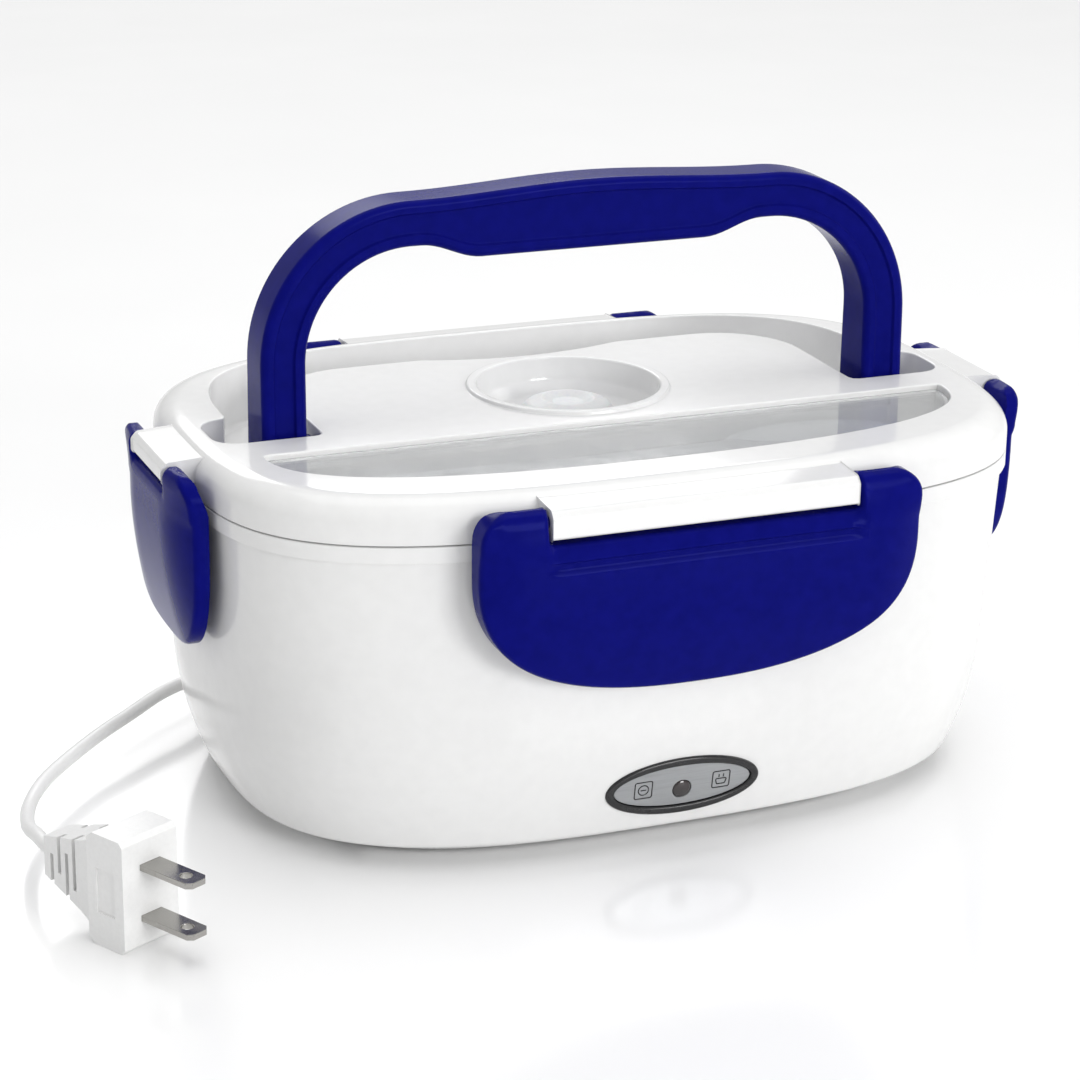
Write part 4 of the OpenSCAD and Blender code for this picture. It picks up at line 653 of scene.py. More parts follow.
def housingRing(u, inset, z=None):
    s = body
    turn = max(0.0, (u - 0.6) / 0.4) ** 2.2
    halfX = s["halfLength"] - s["bandStep"] - s["draftLength"] * u - s["footTurnLength"] * turn - inset
    halfY = s["halfWidth"] - s["bandStep"] - s["draftWidth"] * u - s["footTurnWidth"] * turn - inset
    if z is None:
        z = s["bandBottom"] + (s["bottom"] - s["bandBottom"]) * u
    return level(squareRound(halfX, halfY, s["squareness"] - 0.3 * u, bodyAngles), z)


housing = {
    "ledgeTop": 72.6, "ledgeInset": 9.0, "ledgeThick": 2.4, "innerInset": 3.4,
    "catchOut": 1.4, "catchHeight": 3.4, "catchDrop": 26.0, "longCatch": 27.5, "endCatch": 11.0,
    "bossX": 77.0, "bossY": 42.0, "bossRadius": 4.6, "bossTop": 18.0, "bossBottom": 6.2,
    "panelOut": 67.9, "panelZ": 16.2, "panelTilt": 9.0, "bezelHalf": (20.5, 7.8),
    "inlet": (-45.0, 20.0), "inletSize": (23.6, 12.0), "inletPad": 68.8, "inletBack": 58.0,
}
panelPlace = place(y=-housing["panelOut"], z=housing["panelZ"], tilt=90 + housing["panelTilt"])


def catchForm(side):
    s = housing
    half = s[side + "Catch"]
    back = body["bandStep"] - body["halfWidth" if side == "long" else "halfLength"]
    top, low = lid["axisZ"] - s["catchDrop"], lid["axisZ"] - s["catchDrop"] - s["catchHeight"]
    out = back - s["catchOut"]
    profile = roundProfile([(back + 2.4, top + 2), (out + 1, top), (out, top - 0.8), (out, low), (back + 2.4, low)],
                           [0, 0.5, 0.4, 0.5, 0], closed=True)
    return prism(profile[::-1], -half, half, 0.3, lambda u, v, w: (w, u, v))


def madeReal(obj, modifier):
    # the mesh with that modifier applied
    bpy.context.view_layer.update()
    made = bpy.data.meshes.new_from_object(obj.evaluated_get(bpy.context.evaluated_depsgraph_get()))
    obj.modifiers.remove(modifier)
    obj.data = made


def cutAway(obj, forms):
    for form in forms:
        cutter = newObject("cut", newMesh("cut", form.points, form.faces))
        faceOutwards(cutter.data)
        cut = obj.modifiers.new("cut", "BOOLEAN")
        cut.operation, cut.solver, cut.object = "DIFFERENCE", "EXACT", cutter
        madeReal(obj, cut)
        bpy.data.objects.remove(cutter)


def makeHousing():
    s, b = housing, body
    form = Form()
    steps = [0.985, 0.965, 0.94, 0.915, 0.89, 0.86, 0.83, 0.8, 0.77, 0.74, 0.71, 0.68, 0.65, 0.62, 0.58, 0.53,
             0.47, 0.41, 0.34, 0.27, 0.2, 0.13, 0.06]
    low = [housingRing(1, 0.7, b["bottom"]), housingRing(0.999, 0.25, b["bottom"] + 0.12), housingRing(0.993, 0.03)]
    top, base, inner, ledge = b["bandTop"], b["bandBottom"], s["innerInset"], s["ledgeTop"]
    band = [(base, 1.0), (base, 0.35), (base + 0.1, 0.1), (base + 0.35, 0), (top - 0.35, 0), (top - 0.1, 0.1),
            (top, 0.35), (top, inner - 0.3), (top - 0.3, inner), (ledge, inner), (ledge, s["ledgeInset"]),
            (ledge - s["ledgeThick"], s["ledgeInset"])]
    inside = [housingRing(u, b["wall"]) for u in (0.143, 0.4, 0.5, 0.6, 0.7, 0.78, 0.86, 0.92, 0.96, 1)]
    form.skin(low + [housingRing(u, 0) for u in steps] + [bodyRing(*ring) for ring in band] + inside, closed=True)
    obj = newObject("baseHousing", newMesh("baseHousing", form.points, form.faces))
    faceOutwards(obj.data)
    a, c = s["bezelHalf"]
    pocket = cappedForm([ellipseRing(a - 1.2, c - 1.2, z) for z in (-9, 6)]).moved(panelPlace)
    (x, z), (w, h) = s["inlet"], s["inletSize"]
    frameLoop, outerLoop = (boxLoop(x, z, w / 2 + wide, h / 2 + wide, 1.0) for wide in (0.25, 3))
    front, back = s["inletPad"], s["inletBack"]
    opening = prism(frameLoop, back, front + 3, 0.01, lambda u, v, w: (u, w, v), 1)
    cutAway(obj, [pocket, opening])
    extra = Form()
    for side, turn in sides:
        extra.join(catchForm(side).moved(place(turn=turn)))
    r, under, over = s["bossRadius"], s["bossBottom"], s["bossTop"]
    boss = [(1.5, over - 1.5), (1.5, under), (r - 0.4, under), (r, under + 0.4), (r, over - 0.4), (r - 0.4, over)]
    for sx, sy in corners:
        extra.join(lathe(boss, (sx * s["bossX"], sy * s["bossY"]), 40))
    inlet = Form()
    inlet.skin([np.array([(p[0], y, p[1]) for p in loop]) for loop, y in (
        (frameLoop, front), (frameLoop, back), (outerLoop, back), (outerLoop, front - 1.5))], closed=True)
    extra.join(inlet)
    bm = bmesh.new()
    bm.from_mesh(obj.data)
    bm.from_mesh(newMesh("extra", extra.points, extra.faces))
    bm.to_mesh(obj.data)
    bm.free()
    obj.data.materials.clear()
    obj.data.materials.append(finishes["white_plastic"])
    finishPiece(obj, "base", ["base_housing"])


makeHousing()
print("base housing")

longLatch = {
    "bar": 39.5, "ear": 17.0, "drop": 45.7, "curve": 33.0, "power": 2.4, "axisOut": 3.7, "hook": 27.5, "plane": 72.2,
    "earRadius": 3.6, "belly": 5.2, "tail": 6.2, "sideLength": 13.0, "taper": 0.36, "topIn": 0.0,
    # depth below the bar, and how far in
    "crossbar": 5.0, "ledge": ((0, 1.7), (3.6, 0), (4.2, 0.8), (6.0, 0.7), (6.6, 0)),
}
endLatch = {
    "bar": 14.0, "ear": 14.0, "drop": 45.0, "curve": 32.0, "power": 2.9, "axisOut": 5.6, "hook": 11.0, "plane": 106.5,
    "earRadius": 2.9, "belly": 2.7, "tail": 5.0, "sideLength": 17.0, "taper": 0.56, "topIn": 0.8,
    "crossbar": 3.3, "ledge": ((0, 0.9), (1.8, 0)),
}
latch = {
    "gap": 0.5, "wall": 2.0, "corner": 7.0, "skirtGap": 0.6, "edge": 1.1, "deepBelow": 6.0, "ledgeRows": 7.2,
    "hookThick": 2.4, "hookGap": 0.35, "pinRadius": 1.5, "pinLength": 6.0, "grid": 1.5,
}


def latchLoop(s, inset=0.0):
    # front view of a latch, (across, height above its hinge)
    t = latch
    half, inner, up, bar = s["bar"] + t["gap"] + s["ear"], s["bar"] + t["gap"], s["earRadius"], -s["crossbar"]
    angles = np.radians(np.linspace(0, -180, 90))
    lower = squareRound(half - inset, s["curve"] - inset, s["power"], angles) + (0, -s["drop"] + s["curve"])
    if inset:
        return softLoop(np.vstack([[(half - inset, bar - inset)], lower, [(-half + inset, bar - inset)]]), 0.5, 1.3)
    c, a = t["corner"], np.radians(np.linspace(90, 0, 10))
    ear = np.column_stack([half - c * (1 - np.cos(a)), up - c * (1 - np.sin(a))])
    notch = [(-inner, up), (-inner, bar), (inner, bar), (inner, up)]
    return softLoop(np.vstack([ear, lower, ear[::-1] * (-1, 1), notch]), 0.7, 1.1)


def latchOut(s, x, v):
    # how far the face stands out from the hinge line
    d = -v
    half, r, belly = s["bar"] + latch["gap"] + s["ear"], s["earRadius"], s["belly"]
    upper = np.sqrt(np.maximum(r ** 2 - d ** 2, 0))
    lower = np.where(d < 10, r + (belly - r) * np.sin(np.radians(9 * np.clip(d, 0, 10))), belly)
    out = np.where(d < 0, upper, lower)
    out = out - s["tail"] * np.maximum(0, (d - s["drop"] + s["curve"]) / s["curve"]) ** 1.8
    k = np.clip((np.abs(x) - half + s["sideLength"]) / s["sideLength"], 0, 1)
    deep = np.where(d < 0, upper, np.interp(d, (0, latch["deepBelow"]), (r, s["axisOut"] - latch["skirtGap"])))
    return out - (out + deep) * s["taper"] * k ** 2 * np.clip(d / 9, s["topIn"], 1)


def distanceTo(loop, points):
    return np.min(np.linalg.norm(points[:, None] - loop[None], axis=2), axis=1)


def latchFace(s, points, loop):
    # the face with its rounded edge, and the slope down to the ledge under the bar
    x, v = points[:, 0], points[:, 1]
    r = latch["edge"]
    near = np.clip(distanceTo(loop, points), 0, r)
    out = latchOut(s, x, v) - (r - np.sqrt(r * r - (r - near) ** 2)) * np.clip((s["earRadius"] - v) / 1.5, 0, 1)
    side = np.clip((s["bar"] + latch["gap"] + 1.0 - np.abs(x)) / 2.0, 0, 1)
    return out - side * np.interp(-v - s["crossbar"], *np.transpose(s["ledge"]))


def latchBack(s, v):
    r, deep = s["earRadius"], s["axisOut"] - latch["skirtGap"]
    top = np.minimum(np.sqrt(np.maximum(r ** 2 - v ** 2, 0)), deep)
    return -np.where(v > 0, top, np.interp(-v, (0, latch["deepBelow"]), (min(r, deep), deep)))


def gridInside(loop, step, margin):
    low, high = loop.min(0), loop.max(0)
    xs, ys = np.meshgrid(np.arange(low[0] + margin, high[0], step), np.arange(low[1] + margin, high[1], step))
    p = np.column_stack([xs.ravel(), ys.ravel()])
    p = p[insideLoops([loop], p)]
    return p[distanceTo(loop, p) > margin]


def makeLatch(side, s, turn):
    t = latch
    loop, inner = latchLoop(s), latchLoop(s, t["wall"])
    bar, deep = s["bar"], s["axisOut"] - t["skirtGap"]
    form = Form()

    def put(points, out):
        return form.add(np.column_stack([points[:, 0], -out, points[:, 1]]))

    outerIds = put(loop, np.maximum(latchFace(s, loop, loop), latchBack(s, loop[:, 1])))
    cells = gridInside(loop, t["grid"], t["edge"] + 0.55)
    cells = cells[~((np.abs(cells[:, 0]) < bar + 2.2) & (cells[:, 1] > -s["crossbar"] - t["ledgeRows"]))]
    across = np.concatenate([np.arange(-bar, bar + 0.1, 1.5), (-bar - 1.3, bar + 1.3)])
    rings = [grown(loop, -part * t["edge"]) for part in (0.15, 0.4, 0.7, 1.0)]
    rings += [level(across, -s["crossbar"] - depth) for depth in (1.2, 2.4, 3.6, 4.2, 5.1, 6.0, 6.6)]
    loose = [put(ring, latchFace(s, ring, loop)) for ring in rings + [cells]]
    form.plate([outerIds], (0, 2), np.concatenate(loose))
    backIds = put(loop, latchBack(s, loop[:, 1]))
    form.skin([outerIds, backIds])
    innerBack = put(inner, np.full(len(inner), -deep))
    ears = gridInside(loop, 0.8, 0.5)
    ears = ears[ears[:, 1] > 0]
    form.plate([backIds, innerBack], (0, 2), put(ears, latchBack(s, ears[:, 1])))
    innerFace = put(inner, latchOut(s, *inner.T) - t["wall"])
    form.skin([innerBack, innerFace])
    cells = gridInside(inner, 2.0, 0.8)
    form.plate([innerFace], (0, 2), put(cells, latchOut(s, *cells.T) - t["wall"]))
    top = -housing["catchDrop"] - housing["catchHeight"] - t["hookGap"]
    low = top - t["hookThick"]
    tip = -s["axisOut"] - body["bandStep"] + housing["catchOut"] + t["hookGap"]
    root = float(latchOut(s, np.array([0.0]), np.array([low]))[0]) - t["wall"] / 2
    rib = roundProfile([(-root, low), (-tip, low), (-tip, top), (-root, top)], [0, 0.5, 0.5, 0], closed=True)
    form.join(prism(rib, -s["hook"], s["hook"], 0.4, lambda u, w, x: (x, u, w)))
    r, long, gap = t["pinRadius"], t["pinLength"], t["gap"]
    for end in (-1, 1):
        pin = lathe([(r - 0.3, 0), (r, 0.3), (r, long + gap)], steps=24)
        pin.moved(Matrix.Rotation(end * math.pi / 2, 4, "Y"))
        form.join(pin.moved(place(x=end * (bar + gap - long - gap))))
    form.moved(place(y=-s["plane"] - s["axisOut"], z=lid["axisZ"])).moved(place(turn=turn))
    makePiece(side + "Latch", form, side + "_latch", "blue_plastic", ["latch_" + side], sharp=50)


makeLatch("front", longLatch, 0)
makeLatch("back", longLatch, 180)
makeLatch("left", endLatch, -90)
makeLatch("right", endLatch, 90)
print("latches")

handle = {
    "half": 87.5, "leg": 11.5, "rise": 66.0, "corner": 39.0, "arch": 2.0, "legDepth": 15.0, "gripDepth": 12.6,
    "bulge": 4.0, "bulgeHalf": 30.0, "bulgeSlope": 16.0, "round": 1.8, "border": 2.9, "recess": 0.8,
    "pivot": (0.0, -2.0, 88.5), "boss": 5.6, "pin": 3.0,
    "step": ((0, 0), (0.12, 0.1), (0.4, 0.75), (0.55, 0.93), (0.8, 1.0), (1.2, 1.0)),
}


def ease(t):
    return (1 - math.cos(math.pi * min(max(t, 0), 1))) / 2


def handleStations():
    # outer and inner points along the handle, from the right foot to the left one
    s = handle
    half, leg, turn = s["half"], s["leg"], s["corner"]
    under = s["rise"] - s["arch"]
    cx, cz, foot = half - turn, under - turn, s["legDepth"] / 2
    heights = [foot * math.sin(math.radians(a)) for a in np.linspace(-90, 0, 13)[:-1]]
    out = [((half, z), (half - leg, z)) for z in heights + list(np.linspace(0, cz, 14)[:-1])]
    for a in np.radians(np.linspace(0, 90, 31)):
        c, w = math.cos(a), math.sin(a)
        out.append(((cx + turn * c, cz + turn * w), (cx + (turn - leg) * c, cz + (turn - leg) * w)))
    bulge, slope = s["bulgeHalf"], s["bulgeSlope"]
    start = bulge + slope
    across = np.linspace(cx, start + 0.5, 5)[1:], np.linspace(start, bulge, 11), np.linspace(bulge, 0, 16)[1:]
    for x in np.concatenate(across):
        low = under - leg - s["bulge"] * ease((start - x) / slope)
        out.append(((x, s["rise"] - s["arch"] * ease(x / cx)), (x, low)))
    return out + [((-o[0], o[1]), (-i[0], i[1])) for o, i in out[:-1][::-1]]


def handleSection(outer, inner):
    # a ring across the handle, with the sunk panel on both faces fading in above the foot
    s = handle
    outer, inner = np.array(outer), np.array(inner)
    half = np.linalg.norm(outer - inner) / 2
    along = (outer - inner) / (2 * half)
    middle = (outer + inner) / 2
    z = middle[1]
    if z < 0:
        deep = math.sqrt(max((s["legDepth"] / 2) ** 2 - z * z, 0.04))
    else:
        deep = (s["legDepth"] + (s["gripDepth"] - s["legDepth"]) * z / s["rise"]) / 2
    r, flat = min(s["round"], deep), half - s["border"]
    sunkBy = s["recess"] * min(max((z - 1.5) / 1.6, 0), 1)
    turn = [math.pi / 2 * k / 6 for k in range(7)]
    top = [(half - r + r * math.cos(a), deep - r + r * math.sin(a)) for a in turn]
    top += [(flat - u, deep - sunkBy * g) for u, g in s["step"]]
    top += [(-u, v) for u, v in top[::-1]]
    ring = top + [(u, -v) for u, v in top[::-1]]
    return np.array([(middle[0] + along[0] * u, v, middle[1] + along[1] * u) for u, v in ring])


def makeHandle():
    s = handle
    form = cappedForm([handleSection(*station) for station in handleStations()])
    pin, boss = s["pin"], s["boss"]
    profile = [(pin - 0.3, -5.4), (pin, -5.1), (pin, 0.7), (boss - 0.3, 0.7), (boss, 1.0), (boss, 4.0)]
    for side in (-1, 1):
        knob = lathe(profile, steps=48)
        knob.moved(Matrix.Rotation(side * math.pi / 2, 4, "Y"))
        form.join(knob.moved(place(x=side * lid["middleHalf"])))
    form.moved(place(*s["pivot"]))
    makePiece("carryHandle", form, "carry_handle", "blue_plastic", ["handle"], sharp=42)


makeHandle()
print("handle")


def outlineRings(profile, radii, closed=True, count=4):
    # a profile of (inset, height) carried round the body's outline
    return [bodyRing(z, inset) for inset, z in roundProfile(profile, radii, closed=closed, count=count)]


def sealStrip(profile, radii):
    form = Form()
    form.skin(outlineRings(profile, radii), closed=True)
    return form


heater = {"wallInset": 9.6, "draw": 6.4, "floor": 26.1, "sheet": 1.6, "flangeInset": 3.9, "flangeTop": 74.4,
          "ledge": 72.6, "plateHalf": (61.3, 37.3), "plateSquare": 2.6}


def makeWell():
    s = heater
    t, f, w, edge, ledge, top = (s[key] for key in ("sheet", "floor", "wallInset", "flangeInset", "ledge", "flangeTop"))
    low = w + s["draw"]
    pad = squareRound(*s["plateHalf"], s["plateSquare"], bodyAngles)
    outside = roundProfile([
        (low + 6, f), (low + 0.4, f), (w, ledge), (edge, ledge), (edge, top), (w + t, top), (low + t + 0.4, f + t),
        (low + 8, f + t)], [0, 4, 0.8, 0.5, 0.7, 1.6, 3, 0], count=6)
    form = Form()
    form.skin([level(pad, f)] + [bodyRing(z, i) for i, z in outside] + [level(pad, f + t)], closed=True)
    makePiece("heaterWell", form, "base", "stainless", ["heater_well"])


tray = {"floor": 29.3, "sheet": 1.0, "round": 6.0, "mouth": 13.0, "shoulder": 2.2, "shoulderZ": 73.1, "draw": 6.5,
        "top": 75.5, "flangeInset": 4.5}
dish = {"left": 22.0, "depth": 28.0, "sheet": 1.4, "flange": 1.2, "inset": 13.4, "steps": 220}


def traySide(z):
    s = tray
    return s["mouth"] + s["shoulder"] + s["draw"] * (s["shoulderZ"] - z) / (s["shoulderZ"] - s["floor"] - s["round"])


def makeTray():
    s = tray
    t, f, m, edge, top, step = (s[key] for key in ("sheet", "floor", "mouth", "flangeInset", "top", "shoulderZ"))
    low, high = traySide(f), traySide(step)
    rings = outlineRings([
        (low + 14, f + t), (traySide(f + t), f + t), (high, step), (m, step), (m, top), (edge, top), (edge, top - t),
        (m - t, top - t), (m - t, step - t), (high - t, step - t), (low - t, f), (low + 14, f)],
        [0, 6, 0.8, 0.7, 0.9, 0.45, 0.45, 0.5, 0.5, 0.6, 7, 0], closed=False, count=8)
    makePiece("foodTray", cappedForm(rings), "tray", "stainless", ["food_tray"])


def dishRing(z, inset, left):
    # the outline cut off at the left, with its corners rounded
    xy = squareRound(body["halfLength"] - inset, body["halfWidth"] - inset, body["squareness"],
                     np.linspace(-np.pi / 2, np.pi / 2, 1200))
    xy = xy[xy[:, 0] > left]
    y = np.interp(left, xy[:50, 0], xy[:50, 1]) if xy[0, 0] > left else xy[0, 1]
    loop = np.vstack([[(left, y)], xy, [(left, -y)]])
    return level(resample(smoothed(loop, 3.2, 0.25, 40), count=dish["steps"]), z)


def makeDish():
    s = dish
    z, r, t, left, edge = tray["shoulderZ"] + 0.1, tray["round"], s["sheet"], s["left"], s["inset"]
    low, top, gap = z - s["depth"], z + s["flange"], 0.6
    wall, foot, bend, q = traySide(z) + gap, traySide(low) + gap, traySide(low + r) + gap, r - t
    rings = [(low, foot + 12, left + 12)]
    rings += [(low + r * u, bend + r * v, left + r * v) for u, v in quarter()]
    rings += [(z - 0.4, wall, left), (z, wall - 0.3, left - 0.3), (z, edge + 0.3, left - 1.7),
              (z + 0.3, edge, left - 2), (top - 0.3, edge, left - 2), (top, edge + 0.3, left - 1.7),
              (top, wall + t - 0.5, left + t - 0.5), (top - 0.4, wall + t, left + t)]
    rings += [(low + t + q * u, bend + t + q * v, left + t + q * v) for u, v in quarter()[::-1]]
    rings.append((low + t, foot + t + 12, left + t + 12))
    makePiece("sideDish", cappedForm([dishRing(*ring) for ring in rings]), "dish", "dish_plastic", ["side_dish"])


seal = {"bottom": 75.7, "height": 1.1, "inset": 5.4, "width": 5.6, "tongueInset": 7.05, "tongueWidth": 1.5,
        "tongue": 1.0}
liner = {"bottom": 76.8, "plate": 1.5, "inset": 4.2, "wall": 1.2, "top": 91.2, "groove": (7.0, 8.6), "grooveDepth": 1.1}


def makeLiner():
    s = liner
    form = Form()
    b, top, i, stem = s["bottom"], s["top"], s["inset"], lid["stemHole"]
    (near, far), roof, wall, plate = s["groove"], b + s["grooveDepth"], i + s["wall"], b + s["plate"]
    rings = outlineRings([(far, b), (far, roof), (near, roof), (near, b), (i, b), (i, top), (wall, top), (wall, plate),
                          (wall + 4, plate)], [0, 0.2, 0.2, 0.25, 1.0, 0.3, 0.3, 0.6, 0], closed=False)
    ids = form.skin(rings)
    edges = form.skin([ellipseRing(stem, stem, z, 64, (0, lid["ventY"])) for z in (b, plate)])
    form.plate([ids[0], edges[0]], flip=True)
    form.plate([ids[-1], edges[1]])
    makePiece("lidLiner", form, "lid", "liner_plastic", ["lid_liner"])


def makeSeal():
    s = seal
    a, z, t, wide = s["inset"], s["bottom"], s["tongueInset"], s["inset"] + s["width"]
    top = z + s["height"]
    lip = sealStrip([(a, top), (a, z + 0.3), (a + 1.4, z), (a + 2.6, z + 0.35), (a + 4.0, z), (wide, z + 0.3),
                     (wide, top)], [0.15, 0.4, 0.5, 0.6, 0.5, 0.4, 0.15])
    far, up = t + s["tongueWidth"], top + s["tongue"]
    lip.join(sealStrip([(t, top - 0.01), (far, top - 0.01), (far, up), (t, up)], [0, 0, 0.3, 0.3]))
    makePiece("lidSeal", lip, "lid", "white_silicone", ["lid_seal"])


def makeVentPlug():
    z = lid["ventFloor"] + 0.3
    top = [(0.02, 5.2), (4.0, 5.45), (6.8, 6.6), (10.5, 5.4), (13.4, 2.2), (14.5, 1.0), (14.3, 0), (3.4, 0)]
    stem = [(3.4, 76.6), (3.4, 75.9), (2.6, 75.1), (0.02, 75.1)]
    profile = roundProfile([(r, z + h) for r, h in top] + stem, [0, 2, 1.2, 3, 1.5, 0.5, 0.4, 0.4, 0.2, 0.3, 0.4, 0])
    form = lathe(profile[::-1], (0, lid["ventY"]), 96)
    makePiece("ventPlug", form, "vent", "white_silicone", ["vent_plug"], sharp=60)


spoonSize = {"bowlX": 48.0, "bowlHalf": (23.0, 11.5), "depth": 5.5, "thick": 1.6, "length": 148.0, "floor": 84.8,
             "y": -36.5, "across": 19}


def makeSpoon():
    s = spoonSize
    a, b = s["bowlHalf"]
    bowlX, deep, thick = s["bowlX"], s["depth"], s["thick"]
    end, neck = bowlX + a - s["length"], bowlX - a
    tail, head = np.radians(np.linspace(4, 90, 8)), np.radians(np.linspace(-40, 87, 34))
    xs = np.concatenate([end + 6.5 * (1 - np.cos(tail)), np.linspace(end + 9, neck - 6, 22),
                         np.linspace(neck - 4, neck + 8, 10), bowlX + a * np.sin(head)])
    stemAt = [end, end + 0.4, end + 2, end + 6.5, neck - 30, neck - 2, neck + 4, neck + 14]
    across = np.linspace(-1, 1, s["across"])
    rim = thick * np.clip((1 - np.abs(across)) * 6, 0.25, 1)
    rings = []
    for x in xs:
        f = (x - bowlX) / a
        bowl = b * math.sqrt(max(1 - f * f, 0)) if abs(f) < 1 else 0.0
        stem = float(np.interp(x, stemAt, [0.8, 2.2, 4.4, 5.6, 2.9, 3.3, 4.2, 0.0]))
        y = across * (bowl ** 3 + stem ** 3) ** (1 / 3)
        sag = (deep - thick) * max(0.0, 1 - f * f) ** 0.8 if abs(f) < 1 else 0.0
        top = deep - sag * (1 - np.abs(across) ** 2.4)
        row = np.full(len(across), x)
        rings.append(np.vstack([np.column_stack([row, y, top]), np.column_stack([row, y * 0.985, top - rim])[::-1]]))
    form = cappedForm(rings).moved(place(y=s["y"], z=s["floor"]))
    makePiece("spoon", form, "spoon", "spoon_plastic", ["spoon"], sharp=60)


coverSize = {"gap": 0.35, "bottom": 93.75, "top": 95.3, "edge": 0.45, "under": 0.2}


def makeCover():
    s = coverSize
    loop = bayLoop(s["gap"])
    edge, under = s["edge"], s["under"]
    path = [(s["bottom"] + under * v, -under * u) for u, v in quarter(3)[::-1]]
    path += [(s["top"] - edge * v, -edge * u) for u, v in quarter()]
    form = Form()
    ids = form.skin([level(grown(loop, offset), z) for z, offset in path])
    form.plate([ids[0]], flip=True)
    form.plate([ids[-1]])
    makePiece("spoonCover", form, "cover", "clear_cover", ["spoon_cover"])


makeWell()
makeTray()
makeDish()
makeLiner()
makeSeal()
makeVentPlug()
makeSpoon()
makeCover()
print("well, trays, liner, seal, plug, spoon and cover")

panel = {"bezel": 2.1, "height": 1.3, "barrel": 1.4, "barrelWall": 1.7, "barrelDepth": 4.5, "lensDrop": 1.2,
         "lensRadius": 2.4, "signX": 10.4, "signHalf": 2.3, "line": 0.3, "raise": 0.05}


def flatRibbon(points, width, low, high):
    # a thin raised line along a closed loop
    outer, inner = grown(points, width / 2), grown(points, -width / 2)
    form = Form()
    form.skin([level(*side) for side in ((outer, low), (outer, high), (inner, high), (inner, low))], closed=True)
    return form


def flatBar(a, b, width, low, high):
    a, b = np.array(a, float), np.array(b, float)
    along = (b - a) / np.linalg.norm(b - a) * width / 2
    side = np.array([-along[1], along[0]])
    loop = np.array([a - side, b - side, b + side, a + side])
    return cappedForm([level(loop, z) for z in (low, high)])


def makePanel():
    s = panel
    a, c = housing["bezelHalf"]
    i = s["barrel"] + s["barrelWall"]
    profile = roundProfile([(0, 0), (0, s["height"]), (s["bezel"], s["height"] - 0.1), (s["bezel"], 0), (i, 0),
                            (i, -s["barrelDepth"]), (s["barrel"], -s["barrelDepth"]), (s["barrel"], 0)],
                           [0, 0.75, 0.5, 0, 0, 0.2, 0.2, 0], closed=True, count=4)
    bezel = Form()
    bezel.skin([ellipseRing(a - inset, c - inset, w) for inset, w in profile], closed=True)
    makePiece("panelBezel", bezel.moved(panelPlace), "base", "bezel_plastic", ["panel_bezel"])
    face = Form()
    inset, r = s["bezel"] + 0.2, s["lensRadius"] + 0.1
    soft = ((0, 0.02), (0, 0.5), (0.1, 0.6))
    edge = face.skin([ellipseRing(a - inset - out, c - inset - out, w) for out, w in soft])
    hole = face.skin([ellipseRing(r + out, r + out, w, 48, (0, -s["lensDrop"])) for out, w in soft])
    face.plate([edge[0], hole[0]], flip=True)
    face.plate([edge[-1], hole[-1]])
    makePiece("panelFace", face.moved(panelPlace), "base", "panel_metal", ["panel_face"])
    r = s["lensRadius"]
    profile = roundProfile([(0.02, -3), (r + 0.8, -3), (r + 0.8, -1.4), (r - 0.02, -1.3), (r - 0.02, 0.55),
                            (r - 0.5, 0.82), (0.02, 0.98)], [0, 0.2, 0.2, 0, 0.3, 0.5, 0], count=4)
    lens = lathe(profile, (0, -s["lensDrop"]), 48)
    makePiece("indicatorLens", lens.moved(panelPlace), "base", "lens_plastic", ["indicator_lens"])
    makeSigns()


def makeSigns():
    # a ring with a bar on the left and a bowl with two bars on the right, each in a frame
    s = panel
    x, q, across = s["signX"], s["signHalf"], (s["line"], 0.58, 0.6 + s["raise"])
    loops = [boxLoop(side * x, 0, q, q, 0.5) for side in (-1, 1)] + [ellipseRing(1.35, 1.35, 0, 48, (-x, 0))[:, :2]]
    bowl = roundProfile([(x - 1.5, 0.2), (x - 1.1, -1.3), (x + 1.1, -1.3), (x + 1.5, 0.2)], 0.35, closed=True)
    parts = [flatRibbon(loop, *across) for loop in loops]
    parts += [flatBar((-x - 0.75, 0), (-x + 0.75, 0), *across), flatRibbon(bowl, *across)]
    parts += [flatBar((x + dx, 0.6), (x + dx, 1.45), *across) for dx in (-0.6, 0.6)]
    signs = Form()
    for part in parts:
        signs.join(part)
    makePiece("panelSigns", signs.moved(panelPlace), "base", "bezel_plastic")


makePanel()
print("panel")


def softCopy(name, node, finish, width, segments=2):
    # a CAD form with its doubles merged and its hard edges rounded, the width in millimetres
    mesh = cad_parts[node].data.copy()
    mesh.materials.clear()
    mesh.materials.append(finishes[finish])
    obj = newObject(name, mesh)
    bm = bmesh.new()
    bm.from_mesh(mesh)
    bmesh.ops.remove_doubles(bm, verts=bm.verts, dist=1e-6)
    bmesh.ops.dissolve_limit(bm, angle_limit=math.radians(1.0), verts=bm.verts, edges=bm.edges)
    bm.to_mesh(mesh)
    bm.free()
    edge = obj.modifiers.new("softEdge", "BEVEL")
    edge.width, edge.segments, edge.limit_method, edge.angle_limit = width / 1000, segments, "ANGLE", math.radians(28)
    edge.use_clamp_overlap = True
    evenShading(obj, 40)
    return rides(obj, "base", [node])


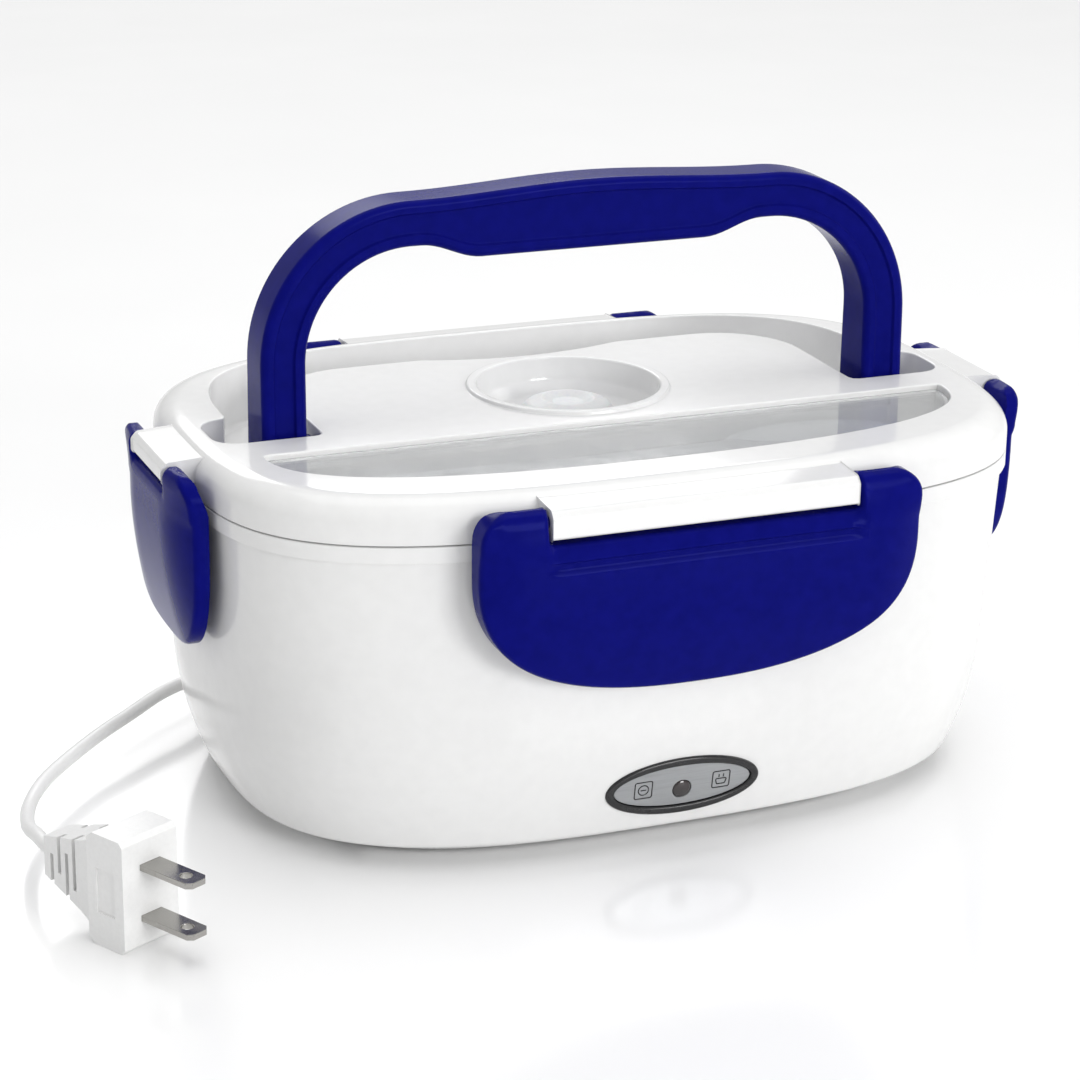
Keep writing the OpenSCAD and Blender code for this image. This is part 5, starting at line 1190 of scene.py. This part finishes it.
plug = softCopy("mainsPlug", "plug_body", "cord_vinyl", 0.6, 3)
blades = softCopy("plugBlades", "plug_blades", "blade_metal", 0.2)
connector = softCopy("cordConnector", "cord_connector", "cord_vinyl", 0.4)
for name, node, finish, width in (
        ("bottomCover", "bottom_cover", "white_plastic", 0.3),
        ("heatingPlate", "heating_plate", "plate_aluminium", 0.4),
        ("heaterBlock", "ptc_heater", "plate_aluminium", 0.3), ("heaterBracket", "heater_bracket", "stainless", 0.2),
        ("thermostat", "thermostat", "dark_resin", 0.3), ("thermalFuse", "thermal_fuse", "stainless", 0.2),
        ("inletSocket", "inlet_socket", "dark_resin", 0.3), ("inletPins", "inlet_pins", "contact_brass", 0.3),
        ("indicatorBoard", "indicator_board", "board_resin", 0.15)):
    softCopy(name, node, finish, width)
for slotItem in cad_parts["wire_harness"].material_slots:
    slotItem.material = finishes["wire_sleeve"]
print("plug, connector and inner parts")


def repeatTree(name):
    # one template stood on each point, turned by the given angle, made real
    tree = bpy.data.node_groups.new(name, "GeometryNodeTree")
    for socket, kind in (("Geometry", "Geometry"), ("Template", "Object"), ("Turn", "Float"), ("Finish", "Material")):
        tree.interface.new_socket(socket, in_out="INPUT", socket_type="NodeSocket" + kind)
    tree.interface.new_socket("Geometry", in_out="OUTPUT", socket_type="NodeSocketGeometry")
    start, end, info, stand, turn, real, paint = (tree.nodes.new(kind) for kind in (
        "NodeGroupInput", "NodeGroupOutput", "GeometryNodeObjectInfo", "GeometryNodeInstanceOnPoints",
        "ShaderNodeCombineXYZ", "GeometryNodeRealizeInstances", "GeometryNodeSetMaterial"))
    for source, out, target, into in (
            (start, "Template", info, "Object"), (start, "Geometry", stand, "Points"),
            (info, "Geometry", stand, "Instance"), (start, "Turn", turn, "Z"), (turn, "Vector", stand, "Rotation"),
            (stand, "Instances", real, "Geometry"), (real, "Geometry", paint, "Geometry"),
            (start, "Finish", paint, "Material"), (paint, "Geometry", end, "Geometry")):
        tree.links.new(source.outputs[out], target.inputs[into])
    return tree


def repeatPiece(name, template, points, turn, slot, nodes):
    one = newObject(name + "One", newMesh(name + "One", template.points, template.faces))
    obj = newObject(name, newMesh(name, points))
    tree = repeatTree(name)
    maker = obj.modifiers.new("repeat", "NODES")
    maker.node_group = tree
    value = {"Template": one, "Turn": math.radians(turn), "Finish": finishes[slot]}
    for item in tree.interface.items_tree:
        if item.in_out == "INPUT" and item.name in value:
            maker[item.identifier] = value[item.name]
    madeReal(obj, maker)
    bpy.data.objects.remove(one)
    if not obj.data.materials:
        obj.data.materials.append(finishes[slot])
    finishPiece(obj, "base", nodes)


bottom = {"footRadius": 6.5, "footHeight": 2.4, "footX": 62, "footY": 34, "stem": 3.0, "stemTop": 5.4,
          "screwX": 77, "screwY": 42, "headRadius": 3.0, "headHeight": 1.4, "screwRadius": 1.48, "headZ": 5.2,
          "screwTop": 14.0, "pitch": 1.0}


def footForm():
    s = bottom
    r, high, stem, top = s["footRadius"], s["footHeight"], s["stem"], s["stemTop"]
    profile = [(0.02, 0.5), (3.6, 0.5), (4.2, 0), (r - 0.6, 0), (r, high), (stem, high), (stem, top), (0.02, top)]
    return lathe(roundProfile(profile, [0, 0.3, 0.3, 0.7, 0.3, 0.2, 0.3, 0], count=4), steps=48)


def screwForm():
    # pan head with a round recess, and a threaded shank
    s = bottom
    z, r, head, low = s["headZ"], s["screwRadius"], s["headRadius"], s["headZ"] - s["headHeight"]
    profile = [(0.02, low + 0.9), (0.7, low + 0.8), (0.9, low + 0.1), (2.2, low), (head, low + 0.7), (head, z), (r, z)]
    form = lathe(roundProfile(profile, [0, 0.1, 0.1, 0.6, 0.3, 0.1, 0], count=3), steps=32)
    thread = [(r, z)]
    while z < s["screwTop"] - 1:
        thread += [(r, z + 0.1), (r - 0.3, z + 0.5), (r, z + 0.9)]
        z += s["pitch"]
    return form.join(lathe(thread + [(0.3, s["screwTop"] + 0.4)], steps=24))


repeatPiece("rubberFeet", footForm(), [(x * bottom["footX"], y * bottom["footY"], 0) for x, y in corners], 0,
            "foot_rubber", ["rubber_feet"])
repeatPiece("housingScrews", screwForm(), [(x * bottom["screwX"], y * bottom["screwY"], 0) for x, y in corners], 20,
            "screw_steel", ["housing_screws"])
print("feet and screws")
